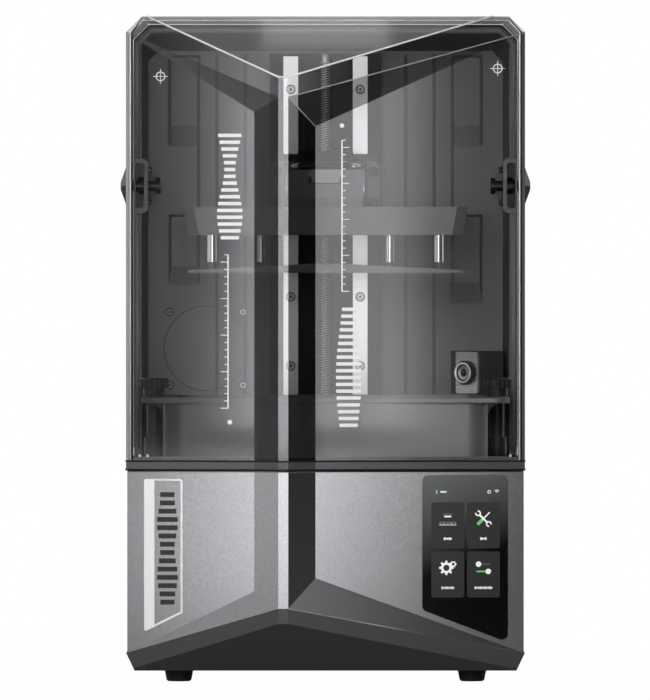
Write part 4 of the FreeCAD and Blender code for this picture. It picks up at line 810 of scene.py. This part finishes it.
statusRow = {"z": 0.1572, "light": (0.0913, 0, 0.0006, 0.0016), "word": (0.0968, 0, 0.0026, 0.0007),
             "ring": (0.1345, 0, 0.0012), "waves": (0.1408, -0.0010), "waveRadii": (0.0007, 0.0016, 0.0025),
             "line": 0.0005}


def screenPen(x, z, layer=1):
    lift = touchScreen["lift"] + layer * touchScreen["depth"]
    return makePen("baseRight", lift, touchScreen["depth"], x, z)


def drawPlate(inks, x, z):
    mark = screenPen(x, z)
    mark(inks["dim"], plateIcon["tray"], barOutline(*plateIcon["dimBar"]))
    for bar in (*plateIcon["whiteBars"], *plateIcon["rungs"]):
        mark(inks["white"], barOutline(*bar))


def drawTools(inks, x, z):
    mark = screenPen(x, z)
    for part, ink in (("blade", "white"), ("grip", "green"), ("spanner", "white")):
        *ends, width = toolIcon[part]
        mark(inks[ink], *lineOutlines(ends, width))
    for jawX, jawZ, start in toolIcon["jaws"]:
        arc = circlePoints(jawX, jawZ, toolIcon["jaw"], steps=10, start=start, sweep=toolIcon["jawSweep"])
        mark(inks["white"], *lineOutlines(arc, toolIcon["jawLine"]))


def drawGears(inks, x, z):
    mark = screenPen(x, z)
    for gearX, gearZ, radius, teeth in gearIcon["gears"]:
        rim = circlePoints(gearX, gearZ, radius, steps=16)
        mark(inks["white"], *lineOutlines(rim, radius * gearIcon["rimLine"]))
        near, far = [radius * reach for reach in gearIcon["toothReach"]]
        roots, tips = circlePoints(gearX, gearZ, near, teeth), circlePoints(gearX, gearZ, far, teeth)
        for tooth in zip(roots[:-1], tips):
            mark(inks["white"], *lineOutlines(tooth, radius * gearIcon["toothLine"]))


def drawSliders(inks, x, z):
    mark, markOver = screenPen(x, z), screenPen(x, z, layer=2)
    for rise, knob, ink in sliderIcon["rows"]:
        mark(inks[ink], barOutline(0, rise, *sliderIcon["bar"]))
        markOver(inks["white"], circlePoints(knob, rise, sliderIcon["knob"], steps=14)[:-1])


def drawStatus(inks):
    mark, line = screenPen(0, statusRow["z"]), statusRow["line"]
    mark(inks["green"], barOutline(*statusRow["light"]))
    mark(inks["white"], barOutline(*statusRow["word"]))
    mark(inks["white"], *lineOutlines(circlePoints(*statusRow["ring"], steps=10), line))
    for radius in statusRow["waveRadii"]:
        wave = circlePoints(*statusRow["waves"], radius, steps=6, start=45, sweep=90)
        mark(inks["white"], *lineOutlines(wave, line))


def drawLabel(inks, x, z, count):
    mark, heights = screenPen(x, z), touchScreen["labelHalfHigh"]
    for n in range(count):
        place = touchScreen["labelPitch"] * (n - (count - 1) / 2)
        mark(inks["white"], barOutline(place, 0, touchScreen["labelHalfWide"], heights[n % len(heights)]))


def addTouchScreen():
    look = touchScreen
    inks = {ink: bmesh.new() for ink in ("dim", "tile", "white", "green")}
    markTile = screenPen(0, 0, layer=0)
    icons = zip((drawPlate, drawTools, drawGears, drawSliders), look["labelMarks"])
    for low, high in look["rows"]:
        for left, right in look["columns"]:
            markTile(inks["tile"], roundedOutline(left, right, low, high, look["tileRadius"]))
            drawIcon, count = next(icons)
            drawIcon(inks, (left + right) / 2, (low + high) / 2 + look["iconRise"])
            drawLabel(inks, (left + right) / 2, low + look["labelRise"], count)
    drawStatus(inks)
    placePiece("screenDim", inks["dim"], "base", "screenGrey")
    placePiece("screenTiles", inks["tile"], "base", "screenTile")
    placePiece("screenIcons", inks["white"], "base", "screenWhite")
    placePiece("screenAccents", inks["green"], "base", "screenGreen")


addTouchScreen()

# lead screw: two threads of 4 mm lead round a dark core, whose dark is painted shade in the roots of the
# thread, with plain ends; the profile is in shares of a pitch
leadScrew = {
    "y": 0.0815,
    "crest": 0.0040,
    "root": 0.0029,
    "lead": 0.004,
    "starts": 2,
    "steps": 20,
    "profile": ((0.20, "root"), (0.28, "crest"), (0.66, "crest"), (0.74, "root")),
    "low": 0.1655,
    "threadLow": 0.1985,
    "threadHigh": 0.5135,
    "top": 0.5218,
    "lowEnd": 0.99,
    "highEnd": 0.9,
    "chamfer": 0.0005,
    "core": 1.02,
    "coreEnd": 0.001,
}


def addThread(shape, look, start):
    pitch = look["lead"] / look["starts"]
    profile = [(pitch * share, look[edge]) for share, edge in look["profile"]]
    count = round((look["threadHigh"] - look["threadLow"]) / look["lead"] * look["steps"])
    rows = []
    for n in range(count + 1):
        turn = 2 * math.pi * n / look["steps"]
        base = look["threadLow"] + look["lead"] * n / look["steps"] + pitch * start
        row = [(radius * math.cos(turn), look["y"] + radius * math.sin(turn), base + rise)
               for rise, radius in profile]
        rows.append([shape.verts.new(spot) for spot in row])
    for first, second in zip(rows, rows[1:]):
        for n in range(len(profile) - 1):
            shape.faces.new((first[n], second[n], second[n + 1], first[n + 1]))


def addLeadScrew():
    look = leadScrew
    y, crest, chamfer, axis = look["y"], look["crest"], look["chamfer"], (0, 0, 1)
    shape = bmesh.new()
    for start in range(look["starts"]):
        addThread(shape, look, start)
    for low, high, radius in ((look["low"], look["threadLow"], crest * look["lowEnd"]),
                              (look["threadHigh"], look["top"], crest * look["highEnd"])):
        tall = high - low
        rows = [(radius * 0.9, 0), (radius, chamfer), (radius, tall - chamfer), (radius * 0.85, tall)]
        addTurned(shape, rows, (0, y, low), axis)
    screw = placePiece("leadScrewThread", shape, "screw", "screwSteel", smooth=True)
    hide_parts("lead_screw")
    # the dark core is painted shade between the threads
    shape = bmesh.new()
    root, end, tall = look["root"] * look["core"], look["coreEnd"], look["threadHigh"] - look["threadLow"]
    rows = [(root * 0.9, -end), (root, 0), (root, tall), (root * 0.9, tall + end)]
    addTurned(shape, rows, (0, y, look["threadLow"]), axis)
    placePiece("leadScrewCore", shape, "screw", "darkSteel", smooth=True)


addLeadScrew()

# shadow strips along the liner's grooves, each with its middle, lower end and upper end
grooves = {"strips": ((0.068, 0.2225, 0.5230), (0.092, 0.2225, 0.5230), (0.1075, 0.3290, 0.5200),
                      (0.1320, 0.4450, 0.5200)),
           "width": 0.0029, "back": 0.1084, "front": 0.10485, "taper": 0.004}


def addGrooveStrips():
    half, taper = grooves["width"] / 2, grooves["taper"]
    outlines = []
    for side in (-1, 1):
        for middle, low, high in grooves["strips"]:
            x, shoulder = side * middle, high - taper
            outlines.append([(x - half, low), (x + half, low), (x + half, shoulder), (x, high),
                             (x - half, shoulder)])
    strips = [upright(outline, grooves["back"]) for outline in outlines]
    depth = grooves["front"] - grooves["back"]
    placeSlabs("grooveStrips", "base", "grooveShade", strips, depth)


addGrooveStrips()

# filter cover: a pressed ring between its four screws, drawn as a thin dark bead of painted shade
filterRing = {"middle": (-0.1011, 0.2725), "y": 0.105, "radius": 0.0358, "bead": 0.00035, "steps": 48}


def addFilterRing():
    circle = circlePoints(*filterRing["middle"], filterRing["radius"], filterRing["steps"])
    beads = [(upright(circle, filterRing["y"]), filterRing["bead"])]
    placeBeads("filterRing", "base", "grooveShade", beads)


addFilterRing()


def grid(across, y, heights):
    return [(x, y, z) for x in across for z in heights]


# heads as rows of radius and height, in shares of the head's own
socketHead = ((1, 0), (1, 0.7), (0.85, 1), (0.5, 1, "hex"), (0.5, 0.3, "hex"))
hexHead = ((1.35, 0), (1.35, 0.2), (1, 0.2, "hex"), (1, 0.9, "hex"), (0.8, 1))
socketDisc = ((0.46, 0.3), (0.46, 0.5))

# screws and bolts: places, the way the heads face, and a ring's outer and inner radius, low and high side;
# the ring and its socket disc are painted shade in the bore
ahead, behind, cameraAxis = (0, -1, 0), (0, 1, 0), (-0.643, -0.766, 0)
socketScrew = {"head": socketHead, "body": "base", "finish": "darkSteel", "axis": ahead}
filterScrew = dict(socketScrew, radius=0.0026, height=0.0013, ring=(0.0038, 0.0027, 0, 0.0009),
                   ringFinish="edgeDark")
hingeBolt = dict(socketScrew, head=hexHead, radius=0.0024, height=0.0032)
rearScrew = dict(socketScrew, axis=behind, radius=0.0028, height=0.0012)
fasteners = {
    "railScrews": dict(socketScrew, finish="railSteel", radius=0.0027, height=0.0035,
                       places=grid((-0.0293, 0.0293), 0.0842, [0.258 + 0.0584 * n for n in range(5)]),
                       ring=(0.0041, 0.0031, 0.0041, 0.0044), ringFinish="boreShadeGrey"),
    "filterScrews": dict(filterScrew, finish="screwGrey", places=grid([-0.1320], 0.105, (0.3035, 0.2415))),
    "filterPins": dict(filterScrew, finish="screwPale", places=grid([-0.0699], 0.105, (0.3035, 0.2415))),
    "hingeBoltsLeft": dict(hingeBolt, axis=(1, 0, 0), places=grid([-0.1493], 0.052, (0.4232, 0.3960))),
    "hingeBoltsRight": dict(hingeBolt, axis=(-1, 0, 0), places=grid([0.1493], 0.052, (0.4232, 0.3960))),
    "carriageScrews": dict(socketScrew, body="carriage", radius=0.0036, height=0.0018,
                           places=grid((-0.0408, 0.0408), 0.067, (0.4222, 0.3960)),
                           ring=(0.0043, 0.0037, 0, 0.0014), ringFinish="edgeDark"),
    "rearScrews": dict(rearScrew, places=grid((-0.148, 0.148), 0.162, (0.195, 0.330, 0.470))),
    "baseScrews": dict(rearScrew, places=grid((-0.150, 0.150), 0.165, (0.034, 0.162))),
    "cameraScrews": dict(socketScrew, finish="cameraSilver", axis=cameraAxis, radius=0.0009, height=0.0004,
                         places=[(x, y, z) for z in (0.2668, 0.2378)
                                 for x, y in ((0.11207, 0.0873), (0.12616, 0.07547))]),
}


# a ringed screw also has a disc of the ring's finish at the bottom of its socket; ring and disc are painted
# shade
def addFasteners():
    for name, look in fasteners.items():
        axis, radius, height = look["axis"], look["radius"], look["height"]
        shape = bmesh.new()
        for place in look["places"]:
            addTurned(shape, look["head"], place, axis, radius, height)
        placePiece(name, shape, look["body"], look["finish"])
        if "ring" in look:
            shape = bmesh.new()
            for place in look["places"]:
                addRing(shape, *look["ring"], place, axis)
                addTurned(shape, socketDisc, place, axis, radius, height)
            placePiece(name + "Rings", shape, look["body"], look["ringFinish"])


addFasteners()

# arm nose: a half round along the front of the arm, dark in the middle as painted shade, with painted
# highlights on its ends and on the corners below it
armNose = {"radius": 0.0027, "sides": 14, "high": 0.4255, "flat": ((-0.0215, -0.0312), (0.0215, -0.0312)),
           "end": ((0.0215, -0.0312), (0.0250, -0.0298), (0.0278, -0.0262), (0.0292, -0.0200),
                   (0.0296, -0.0080)),
           "corner": (0.0320, -0.0300), "cornerLow": 0.3925, "cornerHigh": 0.4212, "cornerRadius": 0.0011}


def addArmNose():
    look = armNose
    radius, sides, up = look["radius"], look["sides"], (0, 0, 1)
    flat = [(level(look["flat"], look["high"]), radius)]
    placeBeads("armNose", "carriage", "darkSteel", flat, up, sides)
    shape = bmesh.new()
    x, y = look["corner"]
    for side in (-1, 1):
        addBead(shape, [(side * px, py, look["high"]) for px, py in look["end"]], radius, up, sides)
        corner = [(side * x, y, look["cornerLow"]), (side * x, y, look["cornerHigh"])]
        addBead(shape, corner, look["cornerRadius"])
    placePiece("armHighlights", shape, "carriage", "noseHighlight", smooth=True)


addArmNose()

# lever frame: a dark recess line of painted shade on the arm, round the lever
leverFrame = {"halfWidth": 0.0145, "low": 0.4108, "high": 0.4220, "y": -0.0299, "depth": 0.00015,
              "radius": 0.001}


def addLeverFrame():
    look, half = leverFrame, leverFrame["halfWidth"]
    outline = upright(roundedOutline(-half, half, look["low"], look["high"], look["radius"]), look["y"])
    placeSlabs("leverFrame", "carriage", "edgeDark", [outline], -look["depth"])


addLeverFrame()

# deck lip: a pale bead along the front of the deck
deckLip = {"plan": ((-0.150, -0.1270), (-0.0585, -0.1400), (-0.0387, -0.1530), (-0.0305, -0.1530),
                    (-0.0082, -0.1410), (0.150, -0.1270)),
           "high": 0.1846, "radius": 0.0012}
deckBead = (level(deckLip["plan"], deckLip["high"]), deckLip["radius"])
placeBeads("deckLip", "base", "edgeGrey", [deckBead], up=(0, 0, 1))

# deck pins: small steel dowels in the front corners, near white as painted glints, with rows as shares of
# their radius and height
deckPinGlints = {"places": ((-0.1528, -0.134), (-0.1463, -0.134), (0.1520, -0.134)), "low": 0.1822, "tall": 0.0058,
            "radius": 0.0011, "rows": ((1.3, 0), (1.3, 0.2), (1, 0.25), (1, 0.85), (0.6, 1)), "steps": 12}


def addDeckPinGlints():
    look = deckPinGlints
    shape = bmesh.new()
    for place in level(look["places"], look["low"]):
        addTurned(shape, look["rows"], place, (0, 0, 1), look["radius"], look["tall"], look["steps"])
    placePiece("deckPinGlints", shape, "base", "steelHighlight", smooth=True)


addDeckPinGlints()

# vat rim: dark lines of painted shadow along its upper and lower edges
vatRim = {"half": 0.140, "y": -0.1160, "depth": 0.0003, "rows": ((0.2293, 0.2301), (0.2337, 0.2341))}
rimBars = [spanOutline(-vatRim["half"], vatRim["half"], low, high) for low, high in vatRim["rows"]]
rimShadows = [upright(bar, vatRim["y"]) for bar in rimBars]
placeSlabs("vatRimShadows", "vat", "grooveShade", rimShadows, -vatRim["depth"])

# hinge slots: a dark plate of painted shade at the bottom of the slot in each bracket
hingeSlotShades = {"inner": 0.1535, "outer": 0.1603, "low": 0.3915, "high": 0.4280, "radius": 0.002, "y": 0.0699,
              "depth": 0.0003}


def addHingeSlotShades():
    look = hingeSlotShades
    slots = []
    for left, right in ((-look["outer"], -look["inner"]), (look["inner"], look["outer"])):
        outline = roundedOutline(left, right, look["low"], look["high"], look["radius"])
        slots.append(upright(outline, look["y"]))
    placeSlabs("hingeSlotShades", "base", "edgeDark", slots, -look["depth"])


addHingeSlotShades()

# lens: a polished ring, near white as a painted highlight, a thin inner ring and a dome of dark glass, at the
# end of the camera's barrel
lens = {"place": (0.11596, 0.07685, 0.2523), "steps": 32,
        "ring": ((0.0086, -0.0008), (0.0088, 0.0006), (0.0086, 0.0008), (0.0073, 0.0008), (0.0070, -0.0008)),
        "inner": (0.0056, 0.0050, -0.0030, -0.0022),
        "domeRadius": 0.0042, "domeLow": -0.0028, "domeRise": 0.0034, "domeRows": 8, "domeSteps": 24,
        "tip": 0.0002}


def addLens():
    look, place = lens, lens["place"]
    shape = bmesh.new()
    addTurned(shape, look["ring"], place, cameraAxis, steps=look["steps"])
    placePiece("lensRing", shape, "base", "steelHighlight", smooth=True)
    shape = bmesh.new()
    addRing(shape, *look["inner"], place, cameraAxis, look["steps"])
    placePiece("lensInner", shape, "base", "edgeGrey")
    shape = bmesh.new()
    rows = []
    for n in range(look["domeRows"] + 1):
        turn = math.pi / 2 * n / look["domeRows"]
        radius = max(look["domeRadius"] * math.cos(turn), look["tip"])
        rows.append((radius, look["domeLow"] + look["domeRise"] * math.sin(turn)))
    addTurned(shape, rows, place, cameraAxis, steps=look["domeSteps"])
    placePiece("lensGlass", shape, "base", "lensGlass", smooth=True)


addLens()
print("pieces built")

# studio: white floor and background, soft lamps for matt surfaces, and soft boxes that only polished ones see
studio = {
    "floorSize": 14.0,
    "floorWhite": 0.92,
    "floorDim": 0.12,
    "floorRough": 0.9,
    "floorGloss": 0.04,
    "floorShare": 0.985,
    "floorNear": (0.35, 0.75),
    "frontSpan": (-0.6, 0.6),
    "frontLevels": (0.30, 0.0),
    "backSpan": (-0.1, 0.3),
}
lampAim = (0, 0, 0.3)
lamps = {
    "keyLight": {"place": (-0.12, -1.6, 0.55), "size": (0.6, 0.6), "power": 2.25, "spread": 60.0},
    "leftLight": {"place": (-1.6, -0.9, 0.7), "size": (0.8, 1.4), "power": 1.0, "spread": 180.0},
    "rearLight": {"place": (1.3, 1.5, 1.2), "size": (1.0, 1.0), "power": 5.0, "spread": 180.0},
    "topLight": {"place": (0.0, -0.3, 2.0), "size": (1.2, 1.2), "power": 1.4, "spread": 180.0},
}


def even(strength):
    return ((0.0, strength), (1.0, strength))


# soft boxes: middle, size, aim, and brightness across the width as (share, strength)
softBoxes = {
    "lowBox": {"place": (-0.085, -1.25, -0.15), "size": (1.07, 0.64), "aim": (-0.085, 0, -0.15),
               "glow": ((0.0, 0.0), (0.065, 0.3), (0.159, 0.55), (0.196, 0.82), (0.244, 1.4), (0.29, 2.3),
                        (0.39, 2.7), (0.547, 2.3), (0.673, 2.2), (0.736, 1.8), (0.764, 1.4), (0.794, 0.8),
                        (0.825, 0.06), (0.86, 0.0), (1.0, 0.0))},
    "highBox": {"place": (-0.085, -1.25, 0.395), "size": (1.07, 0.41), "aim": (-0.085, 0, 0.395),
                "glow": ((0.0, 0.0), (0.187, 0.1), (0.213, 0.16), (0.244, 1.0), (0.276, 3.6), (0.393, 3.0),
                         (0.673, 2.4), (0.748, 2.5), (0.794, 2.5), (0.833, 0.5), (0.872, 0.0), (1.0, 0.0))},
    "crestBox": {"place": (-0.039, -1.2, 0.42), "size": (0.024, 0.50), "aim": (-0.039, 0, 0.42),
                 "glow": even(5.0)},
    "leftBox": {"place": (-1.0, -0.62, 0.30), "size": (0.9, 0.9), "aim": (0, -0.15, 0.30),
                "glow": even(0.85)},
    "upperBox": {"place": (-0.70, -0.70, 0.85), "size": (0.6, 0.6), "aim": (-0.08, -0.15, 0.06),
                 "glow": ((0.0, 0.1), (0.42, 0.25), (0.56, 0.85), (0.7, 0.9), (0.85, 0.3), (1.0, 0.0))},
    "rightBox": {"place": (0.40, -1.0, 0.73), "size": (0.3, 0.3), "aim": (0, -0.15, 0.08),
                 "glow": ((0.0, 0.7), (0.35, 0.55), (0.55, 0.14), (0.75, 0.03), (1.0, 0.0))},
    "sideBox": {"place": (-0.56, -1.24, 0.535), "size": (0.12, 0.16), "aim": (-0.56, 0, 0.535),
                "glow": ((0.0, 0.3), (0.4, 0.7), (0.85, 2.2), (1.0, 2.4))},
    "browBox": {"place": (0.0, -0.845, 1.302), "size": (0.118, 0.0286), "aim": (0, -0.149, 0.534),
                "glow": even(3.7)},
    "browGlow": {"place": (0.0, -0.860, 1.300), "size": (0.36, 0.08), "aim": (0, -0.153, 0.520),
                 "glow": even(1.4)},
    "wedgeBox": {"place": (-0.479, -0.482, 0.06), "size": (0.28, 0.22), "aim": (-0.087, -0.152, 0.495),
                 "glow": even(0.7)},
}


def aimAt(thing, place, aim):
    thing.location = place
    thing.rotation_euler = (Vector(aim) - Vector(place)).to_track_quat("-Z", "Y").to_euler()
    bpy.context.scene.collection.objects.link(thing)


def addLamp(name, look):
    data = bpy.data.lights.new(name, "AREA")
    data.shape = "RECTANGLE"
    data.size, data.size_y = look["size"]
    data.energy = look["power"]
    data.spread = math.radians(look["spread"])
    lamp = bpy.data.objects.new(name, data)
    aimAt(lamp, look["place"], lampAim)
    lamp.visible_glossy = False


# a flat card about its own middle
def makeCard(name, wide, tall):
    mesh = bpy.data.meshes.new(name)
    mesh.from_pydata(level(barOutline(0, 0, wide / 2, tall / 2), 0), [], [(0, 1, 2, 3)])
    return bpy.data.objects.new(name, mesh)


def addSoftBox(name, look):
    wide, tall = look["size"]
    card = makeCard(name, wide, tall)
    aimAt(card, look["place"], look["aim"])
    card.visible_camera = False
    card.visible_diffuse = False
    card.visible_transmission = False
    card.visible_shadow = False
    material = bpy.data.materials.new(name)
    material.use_nodes = True
    tree = material.node_tree
    tree.nodes.clear()
    place = addNode(tree, "ShaderNodeTexCoord").outputs["Object"]
    across = addNode(tree, "ShaderNodeSeparateXYZ", {"Vector": place}).outputs["X"]
    brightest = max(strength for share, strength in look["glow"])
    ramp = addNode(tree, "ShaderNodeValToRGB", {"Fac": mapRange(tree, across, (-wide / 2, wide / 2))})
    stops = ramp.color_ramp.elements
    while len(stops) < len(look["glow"]):
        stops.new(0.5)
    for stop, (position, strength) in zip(stops, look["glow"]):
        stop.position = position
        stop.color = grey(strength / brightest)
    light = addNode(tree, "ShaderNodeEmission", {"Color": ramp.outputs["Color"], "Strength": brightest})
    addNode(tree, "ShaderNodeOutputMaterial", {"Surface": light.outputs[0]})
    card.data.materials.append(material)


def seenDirectly(tree, path):
    return calculate(tree, "MAXIMUM", path["Is Camera Ray"], path["Is Transmission Ray"])


# the world is white behind the machine and darker in front of it, from left to right
def addWorld():
    world = bpy.data.worlds.new("studioWorld")
    world.use_nodes = True
    bpy.context.scene.world = world
    tree = world.node_tree
    tree.nodes.clear()
    sharp = seenDirectly(tree, addNode(tree, "ShaderNodeLightPath").outputs)
    way = addNode(tree, "ShaderNodeTexCoord").outputs["Generated"]
    part = addNode(tree, "ShaderNodeSeparateXYZ", {"Vector": way}).outputs
    across = mapRange(tree, part["X"], studio["frontSpan"], studio["frontLevels"])
    around = mixValue(tree, mapRange(tree, part["Y"], studio["backSpan"]), across, 1.0)
    strength = mixValue(tree, sharp, around, 1.0)
    light = addNode(tree, "ShaderNodeBackground", {"Color": grey(1.0), "Strength": strength})
    addNode(tree, "ShaderNodeOutputWorld", {"Surface": light.outputs[0]})


# the floor shows white, and keeps some of the shadow near the machine
def addFloor():
    floor = makeCard("studioFloor", studio["floorSize"], studio["floorSize"])
    bpy.context.scene.collection.objects.link(floor)
    material, tree, shader = newMaterial("floorWhite")
    shader.inputs["Roughness"].default_value = studio["floorRough"]
    path = addNode(tree, "ShaderNodeLightPath").outputs
    sharp = seenDirectly(tree, path)
    colour = mixColour(tree, sharp, grey(studio["floorDim"]), grey(studio["floorWhite"]))
    tree.links.new(colour, shader.inputs["Base Color"])
    glossy = calculate(tree, "MULTIPLY", path["Is Glossy Ray"], studio["floorGloss"])
    shown = calculate(tree, "MAXIMUM", sharp, glossy)
    place = addNode(tree, "ShaderNodeTexCoord").outputs["Object"]
    away = addNode(tree, "ShaderNodeVectorMath", {0: place}, operation="LENGTH").outputs["Value"]
    share = mapRange(tree, away, studio["floorNear"], (studio["floorShare"], 1.0))
    glow = addNode(tree, "ShaderNodeEmission", {"Strength": 1.0})
    amount = calculate(tree, "MULTIPLY", shown, share)
    mix = addNode(tree, "ShaderNodeMixShader", {0: amount, 1: shader.outputs[0], 2: glow.outputs[0]})
    out = next(node for node in tree.nodes if node.type == "OUTPUT_MATERIAL")
    tree.links.new(mix.outputs[0], out.inputs["Surface"])
    floor.data.materials.append(material)


addCamera()
for name, look in lamps.items():
    addLamp(name, look)
for name, look in softBoxes.items():
    addSoftBox(name, look)
addWorld()
addFloor()
bpy.context.scene.view_settings.view_transform = "Standard"
print("studio set")
